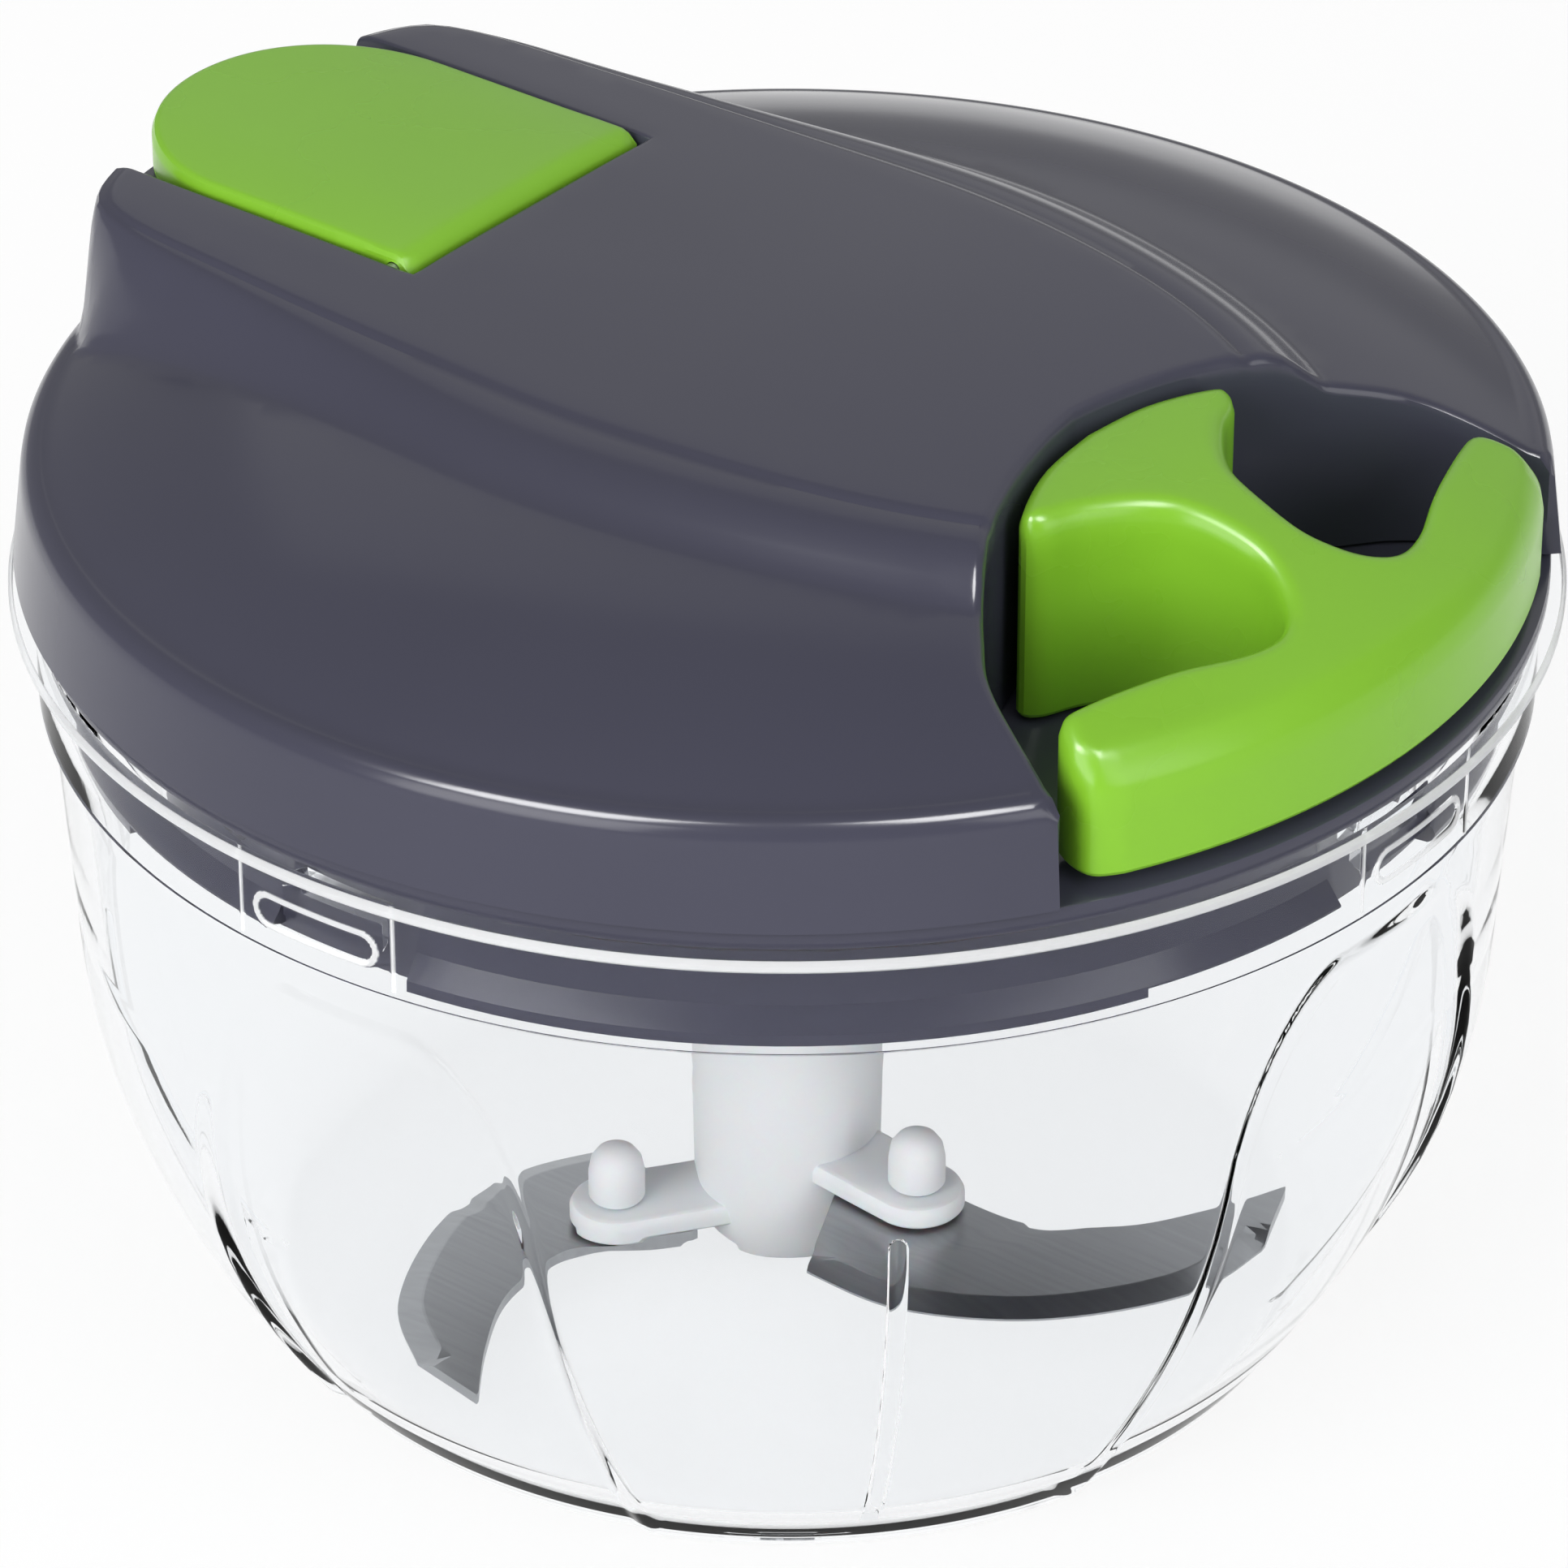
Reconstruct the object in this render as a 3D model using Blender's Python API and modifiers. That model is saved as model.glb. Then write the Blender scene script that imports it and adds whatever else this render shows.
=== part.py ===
# Pull-string chopper: clear bowl, bladed rotor and a lid with a cord spool under its cover.
# Metres, +Z up. The origin is the centre of the bowl's underside and the cord pulls towards +X.

import math

import bmesh
import bpy
import numpy as np
from mathutils import Matrix, Vector

# Fits
GAP = 0.0003
RUNNING_GAP = 0.0005
BLOCK_GAP = 0.0004
CUT_MARGIN = 0.0010

# Main sizes
COVER_RADIUS = 0.0650
BOWL_HEIGHT = 0.0710
BASE_RADIUS = 0.0448

# Bowl
BASE_EDGE = 0.0008
RIM_RADIUS = COVER_RADIUS + 0.0006
RIM_THICKNESS = 0.0011
BAND_RADIUS = COVER_RADIUS - 0.0015
BAND_WALL = 0.0025
BAND_DEPTH = 0.0101
BAND_BORE = BAND_RADIUS - BAND_WALL
BAND_BOTTOM = BOWL_HEIGHT - BAND_DEPTH
BOWL_TOP_RADIUS = BAND_RADIUS - 0.0009
BOWL_WAIST_RADIUS = BOWL_TOP_RADIUS - 0.0014
BOWL_WAIST_HEIGHT = 0.0400
BOWL_WALL = 0.0020
FLOOR_THICKNESS = 0.0026
FLOOR_ROUND = 0.0012
BELLY_POWER = 1.9

# Flutes between the bowl's four lobes, and the bead up the middle of each lobe
MARKS_TURN = math.radians(1.5)
FLUTE_DEPTH = 0.0011
FLUTE_TOP = BAND_BOTTOM - 0.0055
FLUTE_CORNER = 0.0050
FLUTE_EDGE = 0.0011
FLUTE_HALF_ANGLE_BASE = math.radians(21.0)
FLUTE_HALF_ANGLE_TOP = math.radians(13.7)
BEAD_HALF_WIDTH = 0.0009
BEAD_HEIGHT = 0.0008
BEAD_TOP = 0.0395
LOBE_STEPS = 9
BOWL_SEGMENTS = 4 * (LOBE_STEPS + 5)

# Pin that the rotor turns on
PIN_RADIUS = 0.0020
PIN_TOP = 0.0220
PIN_SOCKET_BOTTOM = 0.0011
BOSS_RADIUS = 0.0042
BOSS_HEIGHT = 0.0060
BOSS_DRAFT = 0.0002

# Bayonet
BAR_HALF_ANGLE = math.radians(4.8)
BAR_BOTTOM = BAND_BOTTOM + 0.0025
BAR_HEIGHT = 0.0028
BAR_REACH = 0.0016
BAR_ROOT = 0.0008
LUG_START = math.radians(8.0)
LUG_END = math.radians(17.0)
LUG_HEIGHT = 0.0025
LUG_CLEARANCE = 0.0004
APRON_END = math.radians(66.0)
APRON_BOTTOM = BAND_BOTTOM - 0.0007
APRON_STEP = 0.0008

# Lid base
PLATE_THICKNESS = 0.0017
PLATE_BOTTOM = BOWL_HEIGHT + GAP
PLATE_TOP = PLATE_BOTTOM + PLATE_THICKNESS
FLANGE_RADIUS = COVER_RADIUS - 0.0008
SKIRT_RADIUS = BAND_BORE - BAR_REACH - LUG_CLEARANCE
SKIRT_WALL = 0.0018
SKIRT_BOTTOM = APRON_BOTTOM + APRON_STEP
SEAL_HEIGHT = 0.0030
SEAL_LIP = 0.0004
HOUSING_BORE = 0.0160
HOUSING_WALL = 0.0016
HOUSING_RADIUS = HOUSING_BORE + HOUSING_WALL
CAP_BOSS_RADIUS = 0.0024
CAP_BOSS_CIRCLE = HOUSING_RADIUS + 0.0020
LID_SEGMENTS = 44

# Lid cover
COVER_BOTTOM = PLATE_TOP + GAP
COVER_DRAFT = 0.0009
SHOULDER_RADIUS = COVER_RADIUS - COVER_DRAFT
SHOULDER_HEIGHT = COVER_BOTTOM + 0.0074
SHOULDER_ROUND = 0.0021
DOME_TOP = SHOULDER_HEIGHT + 0.0108
DOME_DROP = 0.0087
DOME_POWER = 3.6
COVER_WALL = 0.0018
RIDGE_TOP = DOME_TOP + 0.0026
RIDGE_REAR_RISE = 0.0006
RIDGE_FRONT_DROP = 0.0011
RIDGE_CROWN = 0.0008
RIDGE_REAR_SPAN = 0.0570
RIDGE_FRONT_SPAN = 0.0330
RIDGE_REAR = SHOULDER_RADIUS - SHOULDER_ROUND
RIDGE_FRONT = 0.0480
RIDGE_EDGE_ROUND = 0.0012
RIDGE_EDGE_FALL = 0.0004
FLANK_WIDTH = 0.0090
COVER_ANGLES = 56
HOLLOW_ANGLES = 32
SCREW_CIRCLE = COVER_RADIUS - 0.0150
SCREW_RADIUS = 0.0012
SCREW_HEAD_RADIUS = 0.0026
SCREW_HEAD_HEIGHT = 0.0012
SCREW_LENGTH = 0.0080
SCREW_BOSS_RADIUS = 0.0032

# Pull handle and the pocket it sits in
BLOCK_TOP = RIDGE_TOP - 0.0015
BLOCK_BOTTOM = PLATE_TOP + BLOCK_GAP
BAR_WIDTH = 0.0075
BAR_OUTER_RADIUS = COVER_RADIUS - 0.0015
BAR_INNER_RADIUS = BAR_OUTER_RADIUS - BAR_WIDTH
BAR_END_ANGLE = math.radians(30.7)
BAR_UNDERSIDE = BLOCK_BOTTOM + 0.0008
HANDLE_LENGTH = 0.0331
BLOCK_BACK = BAR_OUTER_RADIUS - HANDLE_LENGTH
BLOCK_CORNER = (BLOCK_BACK + 0.0035, 0.0136)
NECK_HALF_WIDTH = 0.0030
NECK_X = BAR_INNER_RADIUS - 0.0068
POCKET_BACK = BLOCK_BACK - 0.0008
POCKET_RIM_ANGLE = math.radians(32.6)
HANDLE_ROUND = 0.0013

# Cord, spool and rewind spring
CORD_DIAMETER = 0.0014
CORD_PITCH = 0.00185
CORD_TURNS = 6
CORD_EXIT_HEIGHT = PLATE_TOP + 0.0065
DRUM_RADIUS = 0.0120
DRUM_WALL = 0.0012
SPOOL_FLANGE_RADIUS = HOUSING_BORE - 0.0008
SPOOL_FLANGE = 0.0010
SHAFT_RADIUS = 0.0035
SHAFT_STUB_RADIUS = 0.0020
BUSH_WALL = 0.0019
BUSH_FLANGE = 0.0007
BUSH_LIP = 0.0015
EYELET_BORE = 0.0011
EYELET_WALL = 0.0015
EYELET_LIP = 0.0008
EYELET_ROUND = 0.0004
EYELET_FLANGE = 0.0007
SPRING_TURNS = 6
SPRING_STRIP = 0.0004
SPRING_HEIGHT = 0.0100
ARBOR_RADIUS = 0.0020
CAP_THICKNESS = 0.0009
CAP_SCREW_RADIUS = 0.0009
CAP_SCREW_LENGTH = 0.0070
CAP_SCREW_HEAD = 0.0006
KNOT_RADIUS = 0.0019
KNOT_X = BLOCK_BACK + 0.0079
SLOT_START = HOUSING_BORE - 0.0080
SLOT_END = HOUSING_RADIUS + 0.0024
SLOT_SIDES = (-0.0125, -0.0020)
SLOT_CLEAR = 0.0020

# Rotor
HUB_TOP_RADIUS = 0.0085
HUB_WAIST_RADIUS = 0.0073
HUB_FOOT_RADIUS = 0.0066
HUB_BOTTOM = 0.0031
HUB_TOP = BOWL_HEIGHT - 0.0050
HUB_WAIST_HEIGHT = 0.0340
HUB_FOOT_HEIGHT = 0.0100
HUB_CHAMFER = 0.0008
DOG_HUB_RADIUS = 0.0034
DOG_RADIUS = 0.0054
DOG_TAB_ANGLE = math.radians(36.0)
DOG_DRIVE_GAP = math.radians(4.0)
DOG_SLACK = math.radians(22.0)
DOG_BOTTOM = HUB_TOP - 0.0054
DOG_SOCKET_FLOOR = DOG_BOTTOM - 0.0022
DOG_SCREW_RADIUS = 0.0010
DOG_SCREW_LENGTH = 0.0050
ARM_THICKNESS = 0.0020
ARM_WIDTH = 0.0084
PEG_CIRCLE = 0.0156
PEG_RADIUS = 0.0025
PEG_SHANK_RADIUS = 0.0014
PEG_HEIGHT = 0.0052
PEG_FOOT = 0.0009
PEG_FOOT_HEIGHT = 0.0007
BLADE_THICKNESS = 0.0010
BLADE_TIP_RADIUS = 0.0445
LOW_BLADE_TIP_RADIUS = 0.0405
ARM_ANGLES = (math.radians(-126.0), math.radians(-6.0), math.radians(114.0))
ARM_TOPS = (0.0076, 0.0134, 0.0196)

# Filler flap
FLAP_HALF_WIDTH = 0.0152
FLAP_HINGE_X = -0.0299
FLAP_HINGE_Z = RIDGE_TOP - 0.0003
FLAP_BARREL_RADIUS = 0.0021
FLAP_TIP_CENTRE = -(COVER_RADIUS - 0.0150)
FLAP_TOP = FLAP_HINGE_Z + FLAP_BARREL_RADIUS
FLAP_THICKNESS = 0.0039
FLAP_BOTTOM = FLAP_TOP - FLAP_THICKNESS
FLAP_ROUND = 0.0009
RECESS_FLOOR = FLAP_BOTTOM - 0.0006
RECESS_GAP = 0.0005
HINGE_PIN_RADIUS = 0.0010
CHUTE_X = FLAP_TIP_CENTRE + 0.0040
CHUTE_BORE = 0.0082
CHUTE_WALL = 0.0014
CHUTE_BOTTOM = PLATE_BOTTOM - 0.0018
CHUTE_COLLAR = 0.0018
CHUTE_COLLAR_HEIGHT = 0.0010
PLUG_TOP_RADIUS = CHUTE_BORE - 0.0005
PLUG_BOTTOM_RADIUS = CHUTE_BORE - 0.0023
PLUG_DEPTH = 0.0052

# Heights that follow from the ones above
BUSH_TOP = PLATE_TOP + GAP + BUSH_FLANGE
SPOOL_BOTTOM = BUSH_TOP + GAP
WINDING_RADIUS = DRUM_RADIUS + GAP + CORD_DIAMETER / 2
WINDING_BOTTOM = SPOOL_BOTTOM + SPOOL_FLANGE + GAP + CORD_DIAMETER / 2
WINDING_TOP = WINDING_BOTTOM + CORD_TURNS * CORD_PITCH
SPOOL_TOP = WINDING_TOP + CORD_DIAMETER / 2 + GAP + SPOOL_FLANGE
CAP_BOTTOM = SPOOL_TOP + RUNNING_GAP
CAP_TOP = CAP_BOTTOM + CAP_THICKNESS
HOUSING_TOP = CAP_BOTTOM - GAP
SHAFT_STEP = HUB_TOP + 2 * RUNNING_GAP
WALL_HOLE = EYELET_BORE + EYELET_WALL + GAP
ABOVE_ALL = FLAP_TOP + 0.0140

collection = None
cutters = None


def clear_scene():
    for obj in list(bpy.data.objects):
        bpy.data.objects.remove(obj)


def make_collection(name):
    made = bpy.data.collections.new(name)
    bpy.context.scene.collection.children.link(made)
    return made


def make_material(name, color, roughness, metallic=0.0, alpha=1.0):
    made = bpy.data.materials.new(name)
    made.use_nodes = True
    shader = made.node_tree.nodes["Principled BSDF"]
    shader.inputs["Base Color"].default_value = (*color, 1.0)
    shader.inputs["Roughness"].default_value = roughness
    shader.inputs["Metallic"].default_value = metallic
    shader.inputs["Alpha"].default_value = alpha
    return made


def add_mesh(name, mesh, finish=None):
    obj = bpy.data.objects.new(name, mesh)
    if finish is None:
        cutters.objects.link(obj)
        obj.hide_render = True
        obj.display_type = "WIRE"
    else:
        collection.objects.link(obj)
        mesh.materials.clear()
        mesh.materials.append(finish)
    return obj


def shade(obj, angle=35.0):
    obj.data.shade_smooth()
    obj.data.set_sharp_from_angle(angle=math.radians(angle))


def mesh_from(bm, name):
    bmesh.ops.recalc_face_normals(bm, faces=bm.faces)
    mesh = bpy.data.meshes.new(name)
    bm.to_mesh(mesh)
    bm.free()
    return mesh


def turned(name, profile, finish, closed=False, segments=LID_SEGMENTS):
    """A profile of (radius, height) turned about Z. It runs down its outer side."""
    mesh = bpy.data.meshes.new(name)
    count = len(profile)
    edges = [(i, i + 1) for i in range(count - 1)]
    if closed:
        edges.append((count - 1, 0))
    mesh.from_pydata([(r, 0.0, z) for r, z in profile], edges, [])
    obj = add_mesh(name, mesh, finish)
    screw = obj.modifiers.new("Turn", "SCREW")
    screw.steps = segments
    screw.render_steps = segments
    screw.use_merge_vertices = True
    screw.merge_threshold = 1e-6
    screw.use_smooth_shade = False
    return obj


def settled(obj):
    """The object's modifiers applied, with any fan at the axis welded."""
    graph = bpy.context.evaluated_depsgraph_get()
    graph.update()
    mesh = bpy.data.meshes.new_from_object(obj.evaluated_get(graph))
    bm = bmesh.new()
    bm.from_mesh(mesh)
    bmesh.ops.remove_doubles(bm, verts=bm.verts, dist=1e-6)
    bm.to_mesh(mesh)
    bm.free()
    old = obj.data
    obj.modifiers.clear()
    obj.data = mesh
    bpy.data.meshes.remove(old)
    return obj


def plate(name, outlines, bottom, top, finish=None):
    """A flat piece from closed outlines in plan, the later ones being holes."""
    curve = bpy.data.curves.new(name, "CURVE")
    curve.dimensions = "2D"
    curve.fill_mode = "BOTH"
    curve.extrude = (top - bottom) / 2
    for outline in outlines:
        spline = curve.splines.new("POLY")
        spline.points.add(len(outline) - 1)
        for point, (x, y) in zip(spline.points, outline):
            point.co = (x, y, 0.0, 1.0)
        spline.use_cyclic_u = True
    source = bpy.data.objects.new(name + "_outline", curve)
    cutters.objects.link(source)
    bpy.context.view_layer.update()
    graph = bpy.context.evaluated_depsgraph_get()
    mesh = bpy.data.meshes.new_from_object(source.evaluated_get(graph))
    bpy.data.objects.remove(source)
    bm = bmesh.new()
    bm.from_mesh(mesh)
    bmesh.ops.remove_doubles(bm, verts=bm.verts, dist=1e-6)
    bmesh.ops.dissolve_limit(bm, angle_limit=0.01, verts=bm.verts, edges=bm.edges)
    bmesh.ops.translate(bm, verts=bm.verts, vec=(0.0, 0.0, (top + bottom) / 2))
    bpy.data.meshes.remove(mesh)
    return add_mesh(name, mesh_from(bm, name), finish)


def cylinder(name, radius, start, end, finish=None, segments=20, radius_end=None):
    """A round bar between two points in space."""
    start = Vector(start)
    end = Vector(end)
    bm = bmesh.new()
    bmesh.ops.create_cone(
        bm,
        cap_ends=True,
        segments=segments,
        radius1=radius,
        radius2=radius if radius_end is None else radius_end,
        depth=(end - start).length,
    )
    turn = (end - start).to_track_quat("Z", "Y").to_matrix().to_4x4()
    bmesh.ops.transform(bm, verts=bm.verts, matrix=Matrix.Translation((start + end) / 2) @ turn)
    return add_mesh(name, mesh_from(bm, name), finish)


def box(name, low, high):
    bm = bmesh.new()
    bmesh.ops.create_cube(bm, size=1.0)
    size = Vector(high) - Vector(low)
    centre = (Vector(high) + Vector(low)) / 2
    bmesh.ops.transform(bm, verts=bm.verts, matrix=Matrix.Translation(centre) @ Matrix.Diagonal(size).to_4x4())
    return add_mesh(name, mesh_from(bm, name))


def tube(name, points, radius, finish, resolution=2, cyclic=False):
    curve = bpy.data.curves.new(name, "CURVE")
    curve.dimensions = "3D"
    curve.bevel_depth = radius
    curve.bevel_resolution = resolution
    curve.use_fill_caps = True
    spline = curve.splines.new("POLY")
    spline.points.add(len(points) - 1)
    for point, place in zip(spline.points, points):
        point.co = (*place, 1.0)
    spline.use_cyclic_u = cyclic
    obj = bpy.data.objects.new(name, curve)
    collection.objects.link(obj)
    curve.materials.append(finish)
    return obj


def boolean(obj, other, operation):
    modifier = obj.modifiers.new(operation.title() + " " + other.name, "BOOLEAN")
    modifier.operation = operation
    modifier.object = other
    modifier.solver = "EXACT"
    return modifier


def cut(obj, other):
    return boolean(obj, other, "DIFFERENCE")


def join(obj, other):
    return boolean(obj, other, "UNION")


def polar(radius, angle):
    return radius * math.cos(angle), radius * math.sin(angle)


def arc(radius, start, end, steps, centre=(0.0, 0.0)):
    """Points of an arc in plan, both ends included."""
    points = []
    for i in range(steps + 1):
        x, y = polar(radius, start + (end - start) * i / steps)
        points.append((centre[0] + x, centre[1] + y))
    return points


def sector(inner, outer, start, end, steps=6):
    return arc(outer, start, end, steps) + arc(inner, end, start, steps)


def group(name, pieces, finish=None):
    """Separate solids in one object."""
    bm = bmesh.new()
    for piece in pieces:
        bm.from_mesh(piece.data)
        bpy.data.objects.remove(piece)
    return add_mesh(name, mesh_from(bm, name), finish)


def smoothstep(t):
    t = min(max(t, 0.0), 1.0)
    return t * t * (3.0 - 2.0 * t)


def rings_to_mesh(name, rings, cap_start=True, cap_end=True, finish=None):
    """A closed loft through rings of equal point count. A one-point ring closes in a fan."""
    bm = bmesh.new()
    rows = [[bm.verts.new(point) for point in ring] for ring in rings]
    for low, high in zip(rows, rows[1:]):
        count = max(len(low), len(high))
        for i in range(count):
            j = (i + 1) % count
            if len(low) == 1:
                bm.faces.new((low[0], high[j], high[i]))
            elif len(high) == 1:
                bm.faces.new((low[i], low[j], high[0]))
            else:
                bm.faces.new((low[i], low[j], high[j], high[i]))
    if cap_start and len(rows[0]) > 1:
        bm.faces.new(rows[0])
    if cap_end and len(rows[-1]) > 1:
        bm.faces.new(rows[-1])
    return add_mesh(name, mesh_from(bm, name), finish)


# Bowl


def bowl_wall_radius(z):
    """The outer wall without its flutes: a round belly under a nearly straight top."""
    if z >= BOWL_WAIST_HEIGHT:
        t = (z - BOWL_WAIST_HEIGHT) / (BAND_BOTTOM - BOWL_WAIST_HEIGHT)
        return BOWL_WAIST_RADIUS + (BOWL_TOP_RADIUS - BOWL_WAIST_RADIUS) * t
    t = 1.0 - z / BOWL_WAIST_HEIGHT
    return BOWL_WAIST_RADIUS - (BOWL_WAIST_RADIUS - BASE_RADIUS - BASE_EDGE) * t**BELLY_POWER


def flute_half_angle(z):
    """Half the width of a flute at a height, with its two upper corners rounded."""
    half = FLUTE_HALF_ANGLE_BASE + (FLUTE_HALF_ANGLE_TOP - FLUTE_HALF_ANGLE_BASE) * z / FLUTE_TOP
    up_corner = min(max(z - FLUTE_TOP + FLUTE_CORNER, 0.0), FLUTE_CORNER)
    corner = FLUTE_CORNER - math.sqrt(FLUTE_CORNER**2 - up_corner**2)
    return half - corner / bowl_wall_radius(z)


def bowl_ring(z, radius, depth=0.0, bead=0.0):
    """One ring of the bowl, with points along the flutes' edges and the lobes' beads."""
    edge = FLUTE_EDGE / radius
    bead_edge = BEAD_HALF_WIDTH / radius
    half = flute_half_angle(min(z, FLUTE_TOP))
    quarter = [(0.0, depth), (half - edge, depth), (half + edge, 0.0)]
    lobe = math.pi / 2 - 2 * (half + edge)
    for i in range(1, LOBE_STEPS):
        share = i / LOBE_STEPS
        if i == LOBE_STEPS // 2:
            quarter.append((math.pi / 4 - bead_edge, 0.0))
            quarter.append((math.pi / 4, bead))
        elif i == LOBE_STEPS // 2 + 1:
            quarter.append((math.pi / 4 + bead_edge, 0.0))
        else:
            quarter.append((half + edge + lobe * share, 0.0))
    quarter += [(math.pi / 2 - half - edge, 0.0), (math.pi / 2 - half + edge, depth)]
    ring = []
    for k in range(4):
        for angle, inward in quarter:
            x, y = polar(radius - inward, MARKS_TURN + k * math.pi / 2 + angle)
            ring.append((x, y, z))
    return ring


def wall_heights():
    """Heights of the wall's rings and the flutes' depth at each of them."""
    shares = (0.0, 0.12, 0.3, 0.58)
    heights = [(BASE_EDGE + BOWL_WAIST_HEIGHT * share, FLUTE_DEPTH) for share in shares]
    heights.append((BEAD_TOP, FLUTE_DEPTH))
    heights.append((FLUTE_TOP - FLUTE_CORNER, FLUTE_DEPTH))
    heights.append((FLUTE_TOP - FLUTE_CORNER * 0.4, FLUTE_DEPTH))
    heights.append((FLUTE_TOP - FLUTE_CORNER * 0.08, FLUTE_DEPTH))
    heights.append((FLUTE_TOP + FLUTE_EDGE, 0.0))
    return heights


def make_bowl(clear):
    heights = wall_heights()
    rings = [[(0.0, 0.0, 0.0)], bowl_ring(0.0, BASE_RADIUS, FLUTE_DEPTH)]
    rings += [bowl_ring(z, bowl_wall_radius(z), depth) for z, depth in heights]
    rings.append(bowl_ring(BAND_BOTTOM - 0.0004, BOWL_TOP_RADIUS))
    rings.append(bowl_ring(BAND_BOTTOM, BAND_RADIUS))
    rim_bottom = BOWL_HEIGHT - RIM_THICKNESS
    rings.append(bowl_ring(rim_bottom, BAND_RADIUS))
    rings.append(bowl_ring(rim_bottom, RIM_RADIUS))
    rings.append(bowl_ring(BOWL_HEIGHT, RIM_RADIUS))
    rings.append(bowl_ring(BOWL_HEIGHT, BAND_BORE))
    rings.append(bowl_ring(BAND_BOTTOM, BAND_BORE))
    floor = FLOOR_THICKNESS
    inner = sorted(heights[1:] + [(BEAD_TOP + BEAD_HEIGHT, FLUTE_DEPTH)], reverse=True)
    for z, depth in inner:
        bead = BEAD_HEIGHT if z <= BEAD_TOP else 0.0
        rings.append(bowl_ring(z, bowl_wall_radius(z) - BOWL_WALL, depth, bead))
    rings.append(bowl_ring(floor, bowl_wall_radius(floor) - BOWL_WALL - FLOOR_ROUND, FLUTE_DEPTH))
    rings.append(level_ring(BOSS_RADIUS, floor, BOWL_SEGMENTS))
    rings.append(level_ring(BOSS_RADIUS - BOSS_DRAFT, BOSS_HEIGHT, BOWL_SEGMENTS))
    rings.append(level_ring(PIN_RADIUS + GAP, BOSS_HEIGHT, BOWL_SEGMENTS))
    rings.append(level_ring(PIN_RADIUS + GAP, PIN_SOCKET_BOTTOM, BOWL_SEGMENTS))
    rings.append([(0.0, 0.0, PIN_SOCKET_BOTTOM)])
    bowl = rings_to_mesh("bowl", rings, False, False, clear)
    bars = []
    for k in range(4):
        middle = MARKS_TURN + k * math.pi / 2
        outline = sector(
            BAND_BORE - BAR_REACH, BAND_BORE + BAR_ROOT, middle - BAR_HALF_ANGLE, middle + BAR_HALF_ANGLE
        )
        bars.append(plate("bar", [outline], BAR_BOTTOM, BAR_BOTTOM + BAR_HEIGHT))
    join(bowl, group("bayonet_bars", bars))
    shade(bowl)
    return bowl


def make_bowl_pin(steel):
    round_end = PIN_RADIUS * 0.8
    bottom = PIN_SOCKET_BOTTOM + GAP
    profile = [
        (0.0, PIN_TOP),
        (round_end * 0.7, PIN_TOP - 0.0004),
        (PIN_RADIUS, PIN_TOP - round_end),
        (PIN_RADIUS, bottom),
        (0.0, bottom),
    ]
    return turned("bowl_pin", profile, steel, segments=24)


# Lid


def spline_through(points, steps):
    """A Catmull-Rom curve through points in plan."""
    padded = [points[0]] + list(points) + [points[-1]]
    curve = []
    for a, b, c, d in zip(padded, padded[1:], padded[2:], padded[3:]):
        for i in range(steps):
            t = i / steps
            place = []
            for p, q, r, s in zip(a, b, c, d):
                place.append(
                    0.5
                    * (
                        2 * q
                        + (r - p) * t
                        + (2 * p - 5 * q + 4 * r - s) * t**2
                        + (3 * q - p - 3 * r + s) * t**3
                    )
                )
            curve.append(tuple(place))
    curve.append(tuple(points[-1]))
    return curve


def ridge_outline():
    """Half of the ridge's plan, from its front round the side to its rear."""
    rear = RIDGE_REAR
    return spline_through(
        [
            (RIDGE_FRONT, 0.0),
            (0.0440, 0.0100),
            (0.0330, 0.0183),
            (0.0190, 0.0235),
            (0.0000, 0.0262),
            (-0.0200, 0.0257),
            (-0.0400, 0.0244),
            (-rear + 0.0090, 0.0231),
            (-rear * 0.940, 0.0200),
            (-rear * 0.985, 0.0110),
            (-rear, 0.0),
        ],
        8,
    )


RIDGE_POINTS = ridge_outline()
RIDGE_EDGE_ANGLES = [math.atan2(y, x) for x, y in RIDGE_POINTS]
RIDGE_EDGE_RADII = [math.hypot(x, y) for x, y in RIDGE_POINTS]


def ridge_edge_radius(angle):
    folded = abs(math.atan2(math.sin(angle), math.cos(angle)))
    return float(np.interp(folded, RIDGE_EDGE_ANGLES, RIDGE_EDGE_RADII))


def ridge_foot_radius(angle):
    edge = ridge_edge_radius(angle)
    return edge + min(FLANK_WIDTH, 0.8 * (SHOULDER_RADIUS - 0.0002 - edge))


def dome_height(radius):
    crown = RIDGE_REAR
    if radius <= crown:
        return DOME_TOP - DOME_DROP * (radius / crown) ** DOME_POWER
    t = min((radius - crown) / SHOULDER_ROUND, 1.0)
    return SHOULDER_HEIGHT + SHOULDER_ROUND * math.sqrt(1.0 - t * t)


def ridge_height(radius, angle):
    x = radius * math.cos(angle)
    edge = ridge_edge_radius(angle)
    slope = RIDGE_REAR_RISE if x < 0 else -RIDGE_FRONT_DROP
    crown = RIDGE_CROWN * (1.0 - min(radius / edge, 1.0) ** 2)
    span = RIDGE_REAR_SPAN if x < 0 else RIDGE_FRONT_SPAN
    return RIDGE_TOP + slope * (x / span) ** 2 + crown


def cover_height(radius, angle):
    edge = ridge_edge_radius(angle)
    top = ridge_height(min(radius, edge), angle)
    if radius <= edge:
        inset = min((edge - radius) / RIDGE_EDGE_ROUND, 1.0)
        return top - RIDGE_EDGE_FALL * (1.0 - inset) ** 2
    across = (radius - edge) / (ridge_foot_radius(angle) - edge)
    share = 1.0 - smoothstep(across)
    low = dome_height(radius)
    return low + (top - RIDGE_EDGE_FALL - low) * share


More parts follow.
